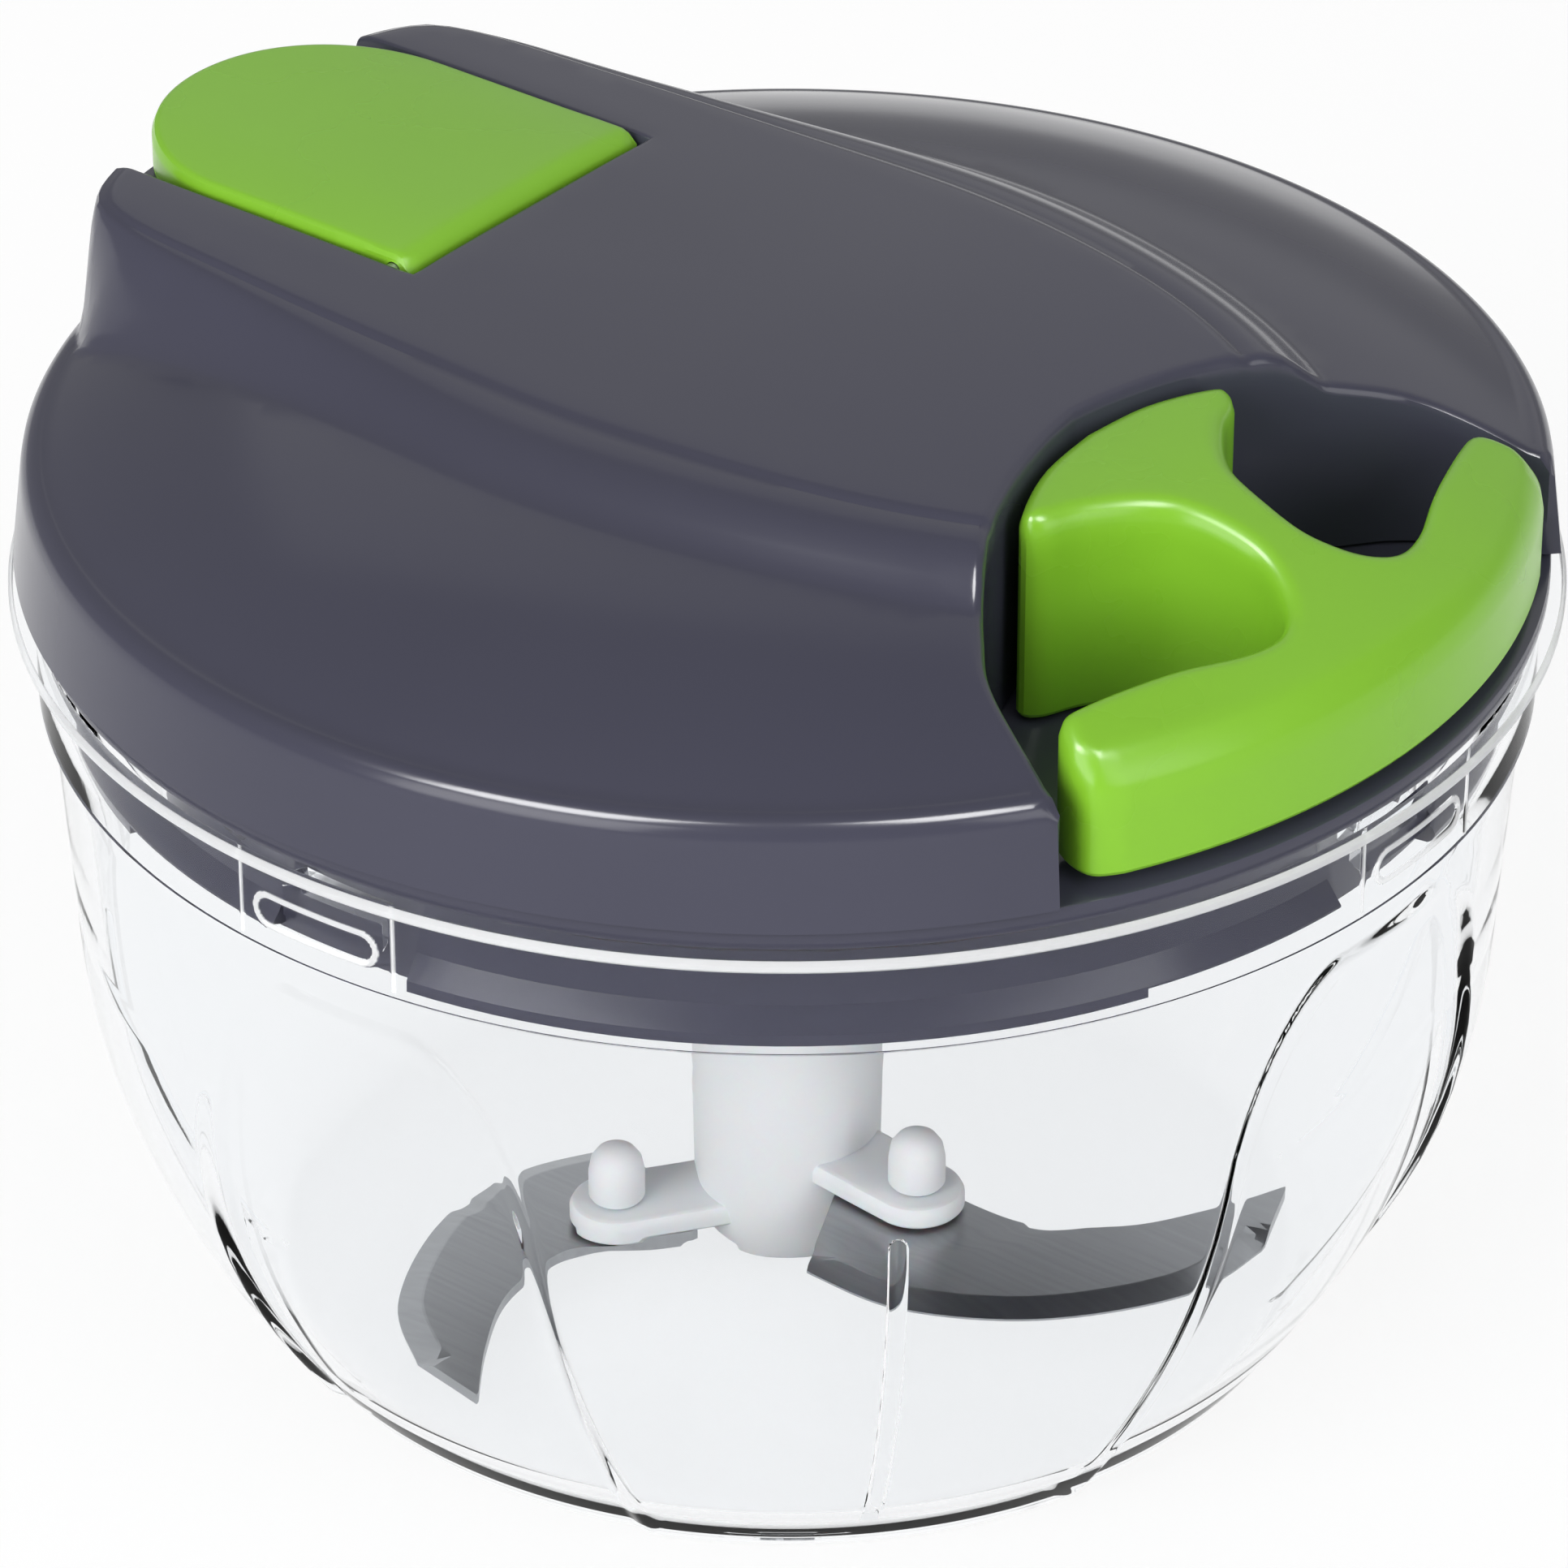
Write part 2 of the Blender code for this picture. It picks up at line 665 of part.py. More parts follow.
def cover_rings(angles, inset=0.0):
    """Rings of the cover's skin, from its crown to its shoulder, drawn in by the wall."""
    inner = (0.45,)
    flank = (0.0, 0.25, 0.6, 1.0)
    rear = RIDGE_REAR
    targets = (rear - 0.0170, rear - 0.0070, rear, SHOULDER_RADIUS - 0.0008, SHOULDER_RADIUS)
    columns = []
    for i in range(angles):
        angle = 2 * math.pi * i / angles
        edge = ridge_edge_radius(angle)
        foot = ridge_foot_radius(angle)
        radii = [edge * share for share in inner] + [edge - RIDGE_EDGE_ROUND]
        radii += [edge + (foot - edge) * share for share in flank]
        for k, target in enumerate(targets):
            even = foot + (SHOULDER_RADIUS - foot) * (k + 1) / len(targets)
            radii.append(max(target, even))
        radii[-1] = SHOULDER_RADIUS
        scale = 1.0 - inset / COVER_RADIUS
        column = []
        for radius in radii:
            x, y = polar(radius * scale, angle)
            column.append((x, y, cover_height(radius, angle) - inset))
        columns.append(column)
    rings = [[(0.0, 0.0, cover_height(0.0, 0.0) - inset)]]
    rings += [list(ring) for ring in zip(*columns)]
    return rings


def level_ring(radius, z, angles):
    return [(*polar(radius, 2 * math.pi * i / angles), z) for i in range(angles)]


def pocket_outline(grow=0.0):
    """Plan of the handle's pocket: an arc behind the handle's block and flared sides to the rim."""
    rim_x, rim_y = polar(COVER_RADIUS, POCKET_RIM_ANGLE)
    flare_x = POCKET_BACK + 0.0144
    flare_y = 0.0300
    flare = (rim_y - flare_y) / (rim_x - flare_x)
    outside = 0.0120
    side = spline_through(
        [
            (POCKET_BACK, 0.0),
            (POCKET_BACK + 0.0006, 0.0045),
            (POCKET_BACK + 0.0024, 0.0118),
            (POCKET_BACK + 0.0055, 0.0193),
            (POCKET_BACK + 0.0096, 0.0252),
            (flare_x, flare_y),
            (rim_x, rim_y),
            (rim_x + outside, rim_y + outside * flare),
        ],
        4,
    )
    grown = []
    for i, (x, y) in enumerate(side):
        before = side[max(i - 1, 0)]
        after = side[min(i + 1, len(side) - 1)]
        along = Vector((after[0] - before[0], after[1] - before[1])).normalized()
        if i == 0:
            along = Vector((0.0, 1.0))
        grown.append((x - along.y * grow, y + along.x * grow))
    return grown + [(x, -y) for x, y in reversed(grown[1:])]


def recess_outline(grow=0.0):
    half = FLAP_HALF_WIDTH + RECESS_GAP + grow
    front = FLAP_HINGE_X + FLAP_BARREL_RADIUS + RECESS_GAP + grow
    rear = -COVER_RADIUS - 0.0100
    return [(front, -half), (front, half), (rear, half), (rear, -half)]


def screw_places():
    return [polar(SCREW_CIRCLE, math.radians(45.0 + 90.0 * k)) for k in range(4)]


def make_cover(slate):
    angles = COVER_ANGLES
    rings = cover_rings(angles)
    rings.append(level_ring(COVER_RADIUS, COVER_BOTTOM, angles))
    cover = rings_to_mesh("lid_cover", rings, False, True, slate)
    below = COVER_BOTTOM - 0.0020
    rings = cover_rings(HOLLOW_ANGLES, COVER_WALL)
    rings.append(level_ring(COVER_RADIUS - COVER_WALL, below, HOLLOW_ANGLES))
    hollow = rings_to_mesh("cover_hollow", rings, False, True)
    cut(hollow, plate("pocket_wall_keep", [pocket_outline(COVER_WALL)], below - CUT_MARGIN, ABOVE_ALL))
    recess_under = RECESS_FLOOR - COVER_WALL
    cut(hollow, plate("recess_wall_keep", [recess_outline(COVER_WALL)], recess_under, ABOVE_ALL))
    bosses = [
        cylinder("boss", SCREW_BOSS_RADIUS, (x, y, below - CUT_MARGIN), (x, y, ABOVE_ALL))
        for x, y in screw_places()
    ]
    cut(hollow, group("cover_bosses_keep", bosses))
    cut(cover, settled(hollow))
    cut(cover, plate("pocket_cut", [pocket_outline()], below, ABOVE_ALL))
    cut(cover, plate("recess_cut", [recess_outline()], RECESS_FLOOR, ABOVE_ALL))
    holes = [
        cylinder(
            "screw_hole",
            SCREW_RADIUS + GAP,
            (x, y, below),
            (x, y, PLATE_BOTTOM + SCREW_LENGTH + GAP),
            segments=12,
        )
        for x, y in screw_places()
    ]
    holes.append(
        cylinder("chute_hole", CHUTE_BORE, (CHUTE_X, 0.0, recess_under - 0.002), (CHUTE_X, 0.0, ABOVE_ALL))
    )
    inside = POCKET_BACK - COVER_WALL
    holes.append(
        cylinder(
            "eyelet_hole",
            WALL_HOLE,
            (inside - 0.001, 0.0, CORD_EXIT_HEIGHT),
            (POCKET_BACK + 0.001, 0.0, CORD_EXIT_HEIGHT),
        )
    )
    reach = FLAP_HALF_WIDTH + RECESS_GAP + COVER_WALL * 0.7
    holes.append(
        cylinder(
            "hinge_pin_hole",
            HINGE_PIN_RADIUS + GAP,
            (FLAP_HINGE_X, -reach, FLAP_HINGE_Z),
            (FLAP_HINGE_X, reach, FLAP_HINGE_Z),
            segments=16,
        )
    )
    cut(cover, group("cover_holes", holes))
    shade(cover)
    return cover


def quarter_arcs(inner, outer, start, end, bottom, top, name, steps):
    pieces = []
    for k in range(4):
        turn = k * math.pi / 2
        outline = sector(inner, outer, start + turn, end + turn, steps)
        pieces.append(plate(name, [outline], bottom, top))
    return group(name + "s", pieces)


def cap_boss_places():
    return [polar(CAP_BOSS_CIRCLE, math.radians(60.0 + 120.0 * k)) for k in range(3)]


def make_lid_base(slate):
    bush_hole = SHAFT_RADIUS + GAP + BUSH_WALL + GAP
    skirt_bore = SKIRT_RADIUS - SKIRT_WALL
    profile = [
        (FLANGE_RADIUS, PLATE_TOP),
        (FLANGE_RADIUS, PLATE_BOTTOM),
        (SKIRT_RADIUS, PLATE_BOTTOM),
        (SKIRT_RADIUS, SKIRT_BOTTOM),
        (skirt_bore, SKIRT_BOTTOM),
        (skirt_bore, PLATE_BOTTOM),
        (bush_hole, PLATE_BOTTOM),
        (bush_hole, PLATE_TOP),
        (HOUSING_BORE, PLATE_TOP),
        (HOUSING_BORE, HOUSING_TOP),
        (HOUSING_RADIUS, HOUSING_TOP),
        (HOUSING_RADIUS, PLATE_TOP),
    ]
    base = turned("lid_base", profile, slate, closed=True)
    join(
        base,
        quarter_arcs(
            skirt_bore, SKIRT_RADIUS, LUG_START, APRON_END, APRON_BOTTOM, SKIRT_BOTTOM + CUT_MARGIN, "apron", 8
        ),
    )
    lug_top = APRON_BOTTOM + LUG_HEIGHT
    lug_reach = BAND_BORE - RUNNING_GAP
    join(
        base,
        quarter_arcs(
            SKIRT_RADIUS - 0.0009, lug_reach, LUG_START, LUG_END, APRON_BOTTOM, lug_top, "lug", 3
        ),
    )
    bosses = [
        cylinder("cap_boss", CAP_BOSS_RADIUS, (x, y, PLATE_BOTTOM + 0.0005), (x, y, HOUSING_TOP), segments=16)
        for x, y in cap_boss_places()
    ]
    join(base, group("cap_bosses", bosses))
    under = PLATE_BOTTOM - CUT_MARGIN
    over = PLATE_TOP + CUT_MARGIN
    holes = [
        cylinder("hole", SCREW_RADIUS + GAP, (x, y, under), (x, y, over), segments=12)
        for x, y in screw_places()
    ]
    holes += [
        cylinder(
            "hole",
            CAP_SCREW_RADIUS + GAP,
            (x, y, CAP_TOP - CAP_SCREW_LENGTH - RUNNING_GAP),
            (x, y, HOUSING_TOP + 0.001),
            segments=12,
        )
        for x, y in cap_boss_places()
    ]
    chute_hole = CHUTE_BORE + CHUTE_WALL + GAP
    holes.append(cylinder("hole", chute_hole, (CHUTE_X, 0.0, under), (CHUTE_X, 0.0, over), segments=32))
    cut(base, group("base_holes", holes))
    near, far = SLOT_SIDES
    slot_low = (SLOT_START, near, PLATE_TOP + SLOT_CLEAR)
    slot_high = (SLOT_END, far, CORD_EXIT_HEIGHT + SLOT_CLEAR)
    cut(base, box("cord_slot", slot_low, slot_high))
    shade(base)
    return base


def make_seal(silicone):
    inner = SKIRT_RADIUS + GAP
    outer = BAND_BORE - GAP
    top = PLATE_BOTTOM - GAP
    middle = (inner + outer) / 2
    profile = [
        (outer, top),
        (outer - SEAL_LIP, top - SEAL_HEIGHT * 0.5),
        (outer, top - SEAL_HEIGHT + SEAL_LIP),
        (middle, top - SEAL_HEIGHT),
        (inner, top - SEAL_HEIGHT + SEAL_LIP),
        (inner, top),
    ]
    seal = turned("lid_seal", profile, silicone, closed=True)
    shade(seal)
    return seal


def make_filler_chute(slate):
    """The tube that the flap's plug closes, standing on the base with a collar."""
    outer = CHUTE_BORE + CHUTE_WALL
    collar = outer + CHUTE_COLLAR
    top = RECESS_FLOOR - COVER_WALL - GAP
    seat = PLATE_TOP + GAP
    profile = [
        (outer, top),
        (outer, seat + CHUTE_COLLAR_HEIGHT),
        (collar, seat + CHUTE_COLLAR_HEIGHT),
        (collar, seat),
        (outer, seat),
        (outer, CHUTE_BOTTOM),
        (CHUTE_BORE, CHUTE_BOTTOM),
        (CHUTE_BORE, top),
    ]
    chute = turned("filler_chute", profile, slate, closed=True, segments=24)
    chute.location = (CHUTE_X, 0.0, 0.0)
    shade(chute)
    return chute


def make_shaft_bush(nylon):
    bore = SHAFT_RADIUS + GAP
    outer = bore + BUSH_WALL
    profile = [
        (outer + BUSH_LIP, BUSH_TOP),
        (outer + BUSH_LIP, PLATE_TOP + GAP),
        (outer, PLATE_TOP + GAP),
        (outer, PLATE_BOTTOM - BUSH_LIP),
        (bore, PLATE_BOTTOM - BUSH_LIP),
        (bore, BUSH_TOP),
    ]
    bush = turned("shaft_bush", profile, nylon, closed=True, segments=24)
    shade(bush)
    return bush


def make_cord_eyelet(nylon):
    """A flanged bush in the pocket's back wall. Its local Z is the pull axis."""
    wall_inside = POCKET_BACK - COVER_WALL
    barrel = EYELET_BORE + EYELET_WALL
    flange = barrel + EYELET_LIP
    profile = [
        (barrel, 0.0),
        (barrel, -COVER_WALL - GAP),
        (flange, -COVER_WALL - GAP),
        (flange, -COVER_WALL - GAP - EYELET_FLANGE),
        (EYELET_BORE + EYELET_ROUND, -COVER_WALL - GAP - EYELET_FLANGE),
        (EYELET_BORE, -COVER_WALL),
        (EYELET_BORE, -EYELET_ROUND),
        (EYELET_BORE + EYELET_ROUND, 0.0),
    ]
    eyelet = turned("cord_eyelet", profile, nylon, closed=True, segments=16)
    eyelet.rotation_euler = (0.0, math.pi / 2, 0.0)
    eyelet.location = (wall_inside + COVER_WALL, 0.0, CORD_EXIT_HEIGHT)
    shade(eyelet)
    return eyelet


def make_spring_cap(slate):
    post_bottom = SPOOL_BOTTOM + SPOOL_FLANGE + RUNNING_GAP
    profile = [
        (0.0, CAP_TOP),
        (HOUSING_RADIUS, CAP_TOP),
        (HOUSING_RADIUS, CAP_BOTTOM),
        (ARBOR_RADIUS, CAP_BOTTOM),
        (ARBOR_RADIUS, post_bottom),
        (0.0, post_bottom),
    ]
    cap = turned("spring_cap", profile, slate, segments=28)
    ears = []
    holes = []
    for x, y in cap_boss_places():
        ears.append(cylinder("ear", CAP_BOSS_RADIUS, (x, y, CAP_BOTTOM), (x, y, CAP_TOP), segments=20))
        holes.append(
            cylinder(
                "hole",
                CAP_SCREW_RADIUS + GAP,
                (x, y, CAP_BOTTOM - 0.001),
                (x, y, CAP_TOP + 0.001),
                segments=12,
            )
        )
    join(cap, group("cap_ears", ears))
    cut(cap, group("cap_holes", holes))
    shade(cap)
    return cap


def make_screw(name, place, head_face, length, radius, head_radius, head_height, steel, head_up=True):
    """A round-headed screw: its head lies on head_face and its shank runs away from the head."""
    profile = [
        (0.0, head_height),
        (head_radius * 0.85, head_height),
        (head_radius, 0.0),
        (radius, 0.0),
        (radius, -length),
        (0.0, -length),
    ]
    piece = turned(name, profile, steel, segments=8)
    piece.location = (*place, head_face)
    piece.rotation_euler = (0.0 if head_up else math.pi, 0.0, 0.0)
    shade(piece)


def make_screws(steel):
    for i, place in enumerate(screw_places()):
        make_screw(
            f"cover_screw_{i + 1}",
            place,
            PLATE_BOTTOM - GAP,
            SCREW_LENGTH + GAP,
            SCREW_RADIUS,
            SCREW_HEAD_RADIUS,
            SCREW_HEAD_HEIGHT,
            steel,
            head_up=False,
        )
    for i, place in enumerate(cap_boss_places()):
        make_screw(
            f"spring_cap_screw_{i + 1}",
            place,
            CAP_TOP + GAP,
            CAP_SCREW_LENGTH,
            CAP_SCREW_RADIUS,
            CAP_SCREW_RADIUS * 2,
            CAP_SCREW_HEAD,
            steel,
        )


# Spool


def make_spool(nylon):
    bore = DRUM_RADIUS - DRUM_WALL
    floor = SPOOL_BOTTOM + SPOOL_FLANGE
    profile = [
        (0.0, floor),
        (bore, floor),
        (bore, SPOOL_TOP),
        (SPOOL_FLANGE_RADIUS, SPOOL_TOP),
        (SPOOL_FLANGE_RADIUS, SPOOL_TOP - SPOOL_FLANGE),
        (DRUM_RADIUS, SPOOL_TOP - SPOOL_FLANGE),
        (DRUM_RADIUS, floor),
        (SPOOL_FLANGE_RADIUS, floor),
        (SPOOL_FLANGE_RADIUS, SPOOL_BOTTOM),
        (SHAFT_RADIUS, SPOOL_BOTTOM),
        (SHAFT_RADIUS, SHAFT_STEP),
        (SHAFT_STUB_RADIUS, SHAFT_STEP),
        (SHAFT_STUB_RADIUS, DOG_BOTTOM),
        (0.0, DOG_BOTTOM),
    ]
    spool = turned("spool", profile, nylon, segments=28)
    bore_end = DOG_BOTTOM + DOG_SCREW_LENGTH + RUNNING_GAP
    stub_bore = DOG_SCREW_RADIUS + GAP
    cut(spool, cylinder("stub_bore", stub_bore, (0, 0, DOG_BOTTOM - 0.001), (0, 0, bore_end), segments=12))
    shade(spool)
    return spool


def make_drive_dog(nylon, steel):
    """The driver on the spool's shaft: a round body with two tabs."""
    outline = []
    for k in range(2):
        turn = k * math.pi
        half = DOG_TAB_ANGLE / 2
        outline += arc(DOG_RADIUS, turn - half, turn + half, 4)
        outline += arc(DOG_HUB_RADIUS, turn + half, turn + math.pi - half, 8)
    bore = arc(SHAFT_STUB_RADIUS + GAP, 0.0, 2 * math.pi * 15 / 16, 15)
    dog = plate("drive_dog", [outline, bore], DOG_BOTTOM, SHAFT_STEP - GAP, nylon)
    shade(dog)
    make_screw(
        "dog_screw",
        (0.0, 0.0),
        DOG_BOTTOM - GAP,
        DOG_SCREW_LENGTH,
        DOG_SCREW_RADIUS,
        DOG_SCREW_RADIUS * 3,
        DOG_SCREW_RADIUS,
        steel,
        head_up=False,
    )
    return dog


def least_gap(points, diameter, near):
    """The least clear space between turns, leaving out each point's own neighbours."""
    places = np.array(points)
    apart = np.linalg.norm(places[:, None] - places[None], axis=2)
    index = np.arange(len(places))
    apart[np.abs(index[:, None] - index[None]) < near] = np.inf
    return float(apart.min()) - diameter


def tangent_angle():
    """Where the cord leaves the drum for the eyelet, on the side that turns it to the left."""
    eyelet_x = POCKET_BACK - COVER_WALL - 0.0010
    return -math.acos(WINDING_RADIUS / eyelet_x)


def make_cord(string):
    per_turn = 20
    leave = tangent_angle()
    points = []
    for i in range(CORD_TURNS * per_turn + 1):
        angle = leave - 2 * math.pi * i / per_turn
        height = WINDING_BOTTOM + CORD_PITCH * i / per_turn
        points.append((*polar(WINDING_RADIUS, angle), height))
    tube("cord_winding", points, CORD_DIAMETER / 2, string, resolution=1)
    print("least gap of the winding:", round(least_gap(points, CORD_DIAMETER, per_turn // 2) * 1000, 2), "mm")
    turn_x = POCKET_BACK - COVER_WALL - 0.0010
    start = Vector((*polar(WINDING_RADIUS, leave), WINDING_BOTTOM))
    turn = Vector((turn_x, 0.0, CORD_EXIT_HEIGHT))
    clear = WINDING_RADIUS + CORD_DIAMETER + GAP
    along = math.sqrt(clear**2 - WINDING_RADIUS**2) + GAP
    run = turn - start
    first = start + run * (along / run.xy.length)
    ahead = POCKET_BACK - GAP / 2
    lead = [first + (turn - first) * t for t in (0.0, 0.25, 0.5, 0.75, 0.9)]
    lead += [turn + Vector((0.0008, 0.0, 0.0)), Vector((ahead - GAP / 2, 0.0, CORD_EXIT_HEIGHT))]
    tube("cord_lead", [tuple(p) for p in lead], CORD_DIAMETER / 2, string)
    knot_face = KNOT_X - KNOT_RADIUS
    run = [
        (ahead + (knot_face - GAP - ahead) * t + GAP / 2 * (1 - t), 0.0, CORD_EXIT_HEIGHT)
        for t in (0.0, 0.5, 1.0)
    ]
    tube("cord_run", run, CORD_DIAMETER / 2, string)
    bm = bmesh.new()
    bmesh.ops.create_uvsphere(bm, u_segments=12, v_segments=8, radius=KNOT_RADIUS)
    knot = add_mesh("cord_knot", mesh_from(bm, "cord_knot"), string)
    knot.location = (KNOT_X, 0.0, CORD_EXIT_HEIGHT)
    shade(knot)


def make_rewind_spring(steel):
    """A flat spiral strip between the cap's arbor and the drum's wall."""
    per_turn = 14
    steps = SPRING_TURNS * per_turn
    inner = ARBOR_RADIUS + GAP + SPRING_STRIP / 2
    outer = DRUM_RADIUS - DRUM_WALL - GAP - SPRING_STRIP / 2
    bottom = SPOOL_BOTTOM + SPOOL_FLANGE + 2 * RUNNING_GAP
    points = []
    for i in range(steps + 1):
        angle = 2 * math.pi * i / per_turn
        points.append((*polar(inner + (outer - inner) * i / steps, angle), bottom))
    verts = points + [(x, y, bottom + SPRING_HEIGHT) for x, y, z in points]
    count = len(points)
    faces = [(i, i + 1, i + 1 + count, i + count) for i in range(count - 1)]
    mesh = bpy.data.meshes.new("rewind_spring")
    mesh.from_pydata(verts, [], faces)
    spring = add_mesh("rewind_spring", mesh, steel)
    solidify = spring.modifiers.new("Strip", "SOLIDIFY")
    solidify.thickness = SPRING_STRIP
    solidify.offset = 0.0
    shade(spring)
    print("least gap of the spring:", round(least_gap(points, SPRING_STRIP, per_turn // 2) * 1000, 2), "mm")


# Handle


def handle_outline():
    """Plan of the grip: a block with an arched back, a neck and a bar along the rim."""
    corner_x, corner_y = BLOCK_CORNER
    end_x, end_y = polar(BAR_INNER_RADIUS + 0.0010, BAR_END_ANGLE - math.radians(0.6))
    back = spline_through(
        [
            (BLOCK_BACK, 0.0),
            (BLOCK_BACK + 0.0008, 0.0066),
            (corner_x - 0.0006, corner_y - 0.0012),
            (corner_x + 0.0008, corner_y + 0.0004),
            (corner_x + 0.0024, corner_y - 0.0006),
            (BLOCK_BACK + 0.0074, 0.0097),
            (BLOCK_BACK + 0.0103, 0.0058),
            (BLOCK_BACK + 0.0134, 0.0038),
            (NECK_X, NECK_HALF_WIDTH),
            (BAR_INNER_RADIUS - 0.0034, 0.0042),
            (BAR_INNER_RADIUS - 0.0012, 0.0062),
            (BAR_INNER_RADIUS - 0.0003, 0.0088),
            (BAR_INNER_RADIUS - 0.0010, 0.0125),
            (BAR_INNER_RADIUS - 0.0033, 0.0178),
            (BAR_INNER_RADIUS - 0.0049, 0.0222),
            (BAR_INNER_RADIUS - 0.0063, 0.0265),
            (end_x, end_y),
        ],
        2,
    )
    tip = BAR_END_ANGLE
    back.append(polar(BAR_INNER_RADIUS + 0.0024, tip))
    back.append(polar(BAR_OUTER_RADIUS - 0.0018, tip))
    rim = arc(BAR_OUTER_RADIUS, tip - math.radians(1.5), 0.0, 14)
    half = back + rim
    return half + [(x, -y) for x, y in reversed(half[1:-1])]


def make_pull_handle(lime):
    handle = plate("pull_handle", [handle_outline()], BLOCK_BOTTOM, ABOVE_ALL, lime)
    reach = BAR_OUTER_RADIUS + 0.0030
    inside = BLOCK_BACK - 0.0104
    slope = [
        (inside, BLOCK_TOP + 0.0002),
        (BLOCK_BACK + 0.0036, BLOCK_TOP - 0.0002),
        (BLOCK_BACK + 0.0166, BLOCK_TOP - 0.0021),
        (BAR_INNER_RADIUS - 0.0012, BLOCK_TOP - 0.0053),
        (BAR_INNER_RADIUS + 0.0040, BLOCK_TOP - 0.0071),
        (reach, BLOCK_TOP - 0.0098),
        (reach, BAR_UNDERSIDE),
        (BAR_INNER_RADIUS - 0.0008, BAR_UNDERSIDE),
        (BAR_INNER_RADIUS - 0.0012, BLOCK_BOTTOM - CUT_MARGIN),
        (inside, BLOCK_BOTTOM - CUT_MARGIN),
    ]
    form = turned("handle_form", slope, None, closed=True, segments=36)
    boolean(handle, settled(form), "INTERSECT")
    rounding = handle.modifiers.new("Rounded edges", "BEVEL")
    rounding.width = HANDLE_ROUND
    rounding.segments = 2
    rounding.limit_method = "ANGLE"
    rounding.angle_limit = math.radians(40.0)
    cutters_here = [
        cylinder(
            "bore",
            EYELET_BORE,
            (BLOCK_BACK - 0.002, 0.0, CORD_EXIT_HEIGHT),
            (KNOT_X, 0.0, CORD_EXIT_HEIGHT),
            segments=16,
        ),
    ]
    chamber = KNOT_RADIUS + RUNNING_GAP
    cut(handle, group("handle_bore", cutters_here))
    cut(
        handle,
        cylinder(
            "knot_chamber",
            chamber,
            (KNOT_X, 0.0, BLOCK_BOTTOM - 0.002),
            (KNOT_X, 0.0, CORD_EXIT_HEIGHT + KNOT_RADIUS + RUNNING_GAP),
        ),
    )
    shade(handle)
    plug = cylinder(
        "handle_plug",
        chamber - GAP,
        (KNOT_X, 0.0, BLOCK_BOTTOM),
        (KNOT_X, 0.0, CORD_EXIT_HEIGHT - KNOT_RADIUS - GAP),
        lime,
    )
    shade(plug)
    return handle


# Filler flap


def set_origin(obj, place):
    obj.data.transform(Matrix.Translation(-Vector(place)))
    obj.location = place


def make_filler_flap(lime, silicone, steel):
    half = FLAP_HALF_WIDTH
    tongue = [(FLAP_HINGE_X, -half), (FLAP_HINGE_X, half)]
    tongue += arc(half, math.pi / 2, 3 * math.pi / 2, 16, (FLAP_TIP_CENTRE, 0.0))
    flap = plate("filler_flap", [tongue], FLAP_BOTTOM, FLAP_TOP, lime)
    hinge = (FLAP_HINGE_X, 0.0, FLAP_HINGE_Z)
    set_origin(flap, hinge)
    rounding = flap.modifiers.new("Rounded edges", "BEVEL")
    rounding.width = FLAP_ROUND
    rounding.segments = 2
    rounding.limit_method = "ANGLE"
    rounding.angle_limit = math.radians(40.0)
    barrel = cylinder(
        "flap_barrel",
        FLAP_BARREL_RADIUS,
        (FLAP_HINGE_X, -half, FLAP_HINGE_Z),
        (FLAP_HINGE_X, half, FLAP_HINGE_Z),
        segments=32,
    )
    join(flap, barrel)
    pin_hole = HINGE_PIN_RADIUS + GAP
    cut(
        flap,
        cylinder(
            "flap_bore",
            pin_hole,
            (FLAP_HINGE_X, -half - 0.002, FLAP_HINGE_Z),
            (FLAP_HINGE_X, half + 0.002, FLAP_HINGE_Z),
            segments=16,
        ),
    )
    shade(flap)
    plug = cylinder(
        "flap_plug",
        PLUG_BOTTOM_RADIUS,
        (CHUTE_X, 0.0, FLAP_BOTTOM - GAP - PLUG_DEPTH),
        (CHUTE_X, 0.0, FLAP_BOTTOM - GAP),
        silicone,
        segments=32,
        radius_end=PLUG_TOP_RADIUS,
    )
    set_origin(plug, hinge)
    shade(plug)
    reach = FLAP_HALF_WIDTH + RECESS_GAP + COVER_WALL * 0.7 - GAP
    pin = cylinder(
        "flap_hinge_pin",
        HINGE_PIN_RADIUS,
        (FLAP_HINGE_X, -reach, FLAP_HINGE_Z),
        (FLAP_HINGE_X, reach, FLAP_HINGE_Z),
        steel,
        segments=16,
    )
    set_origin(pin, hinge)
    shade(pin)


# Rotor


def arm_place(angle, along, across=0.0):
    x = along * math.cos(angle) - across * math.sin(angle)
    y = along * math.sin(angle) + across * math.cos(angle)
    return x, y


def arm_outline(angle):
    half = ARM_WIDTH / 2
    end = arc(half, -math.pi / 2, math.pi / 2, 10, (PEG_CIRCLE, 0.0))
    outline = [(HUB_FOOT_RADIUS - 0.0018, -half)] + end + [(HUB_FOOT_RADIUS - 0.0018, half)]
    return [arm_place(angle, x, y) for x, y in outline]


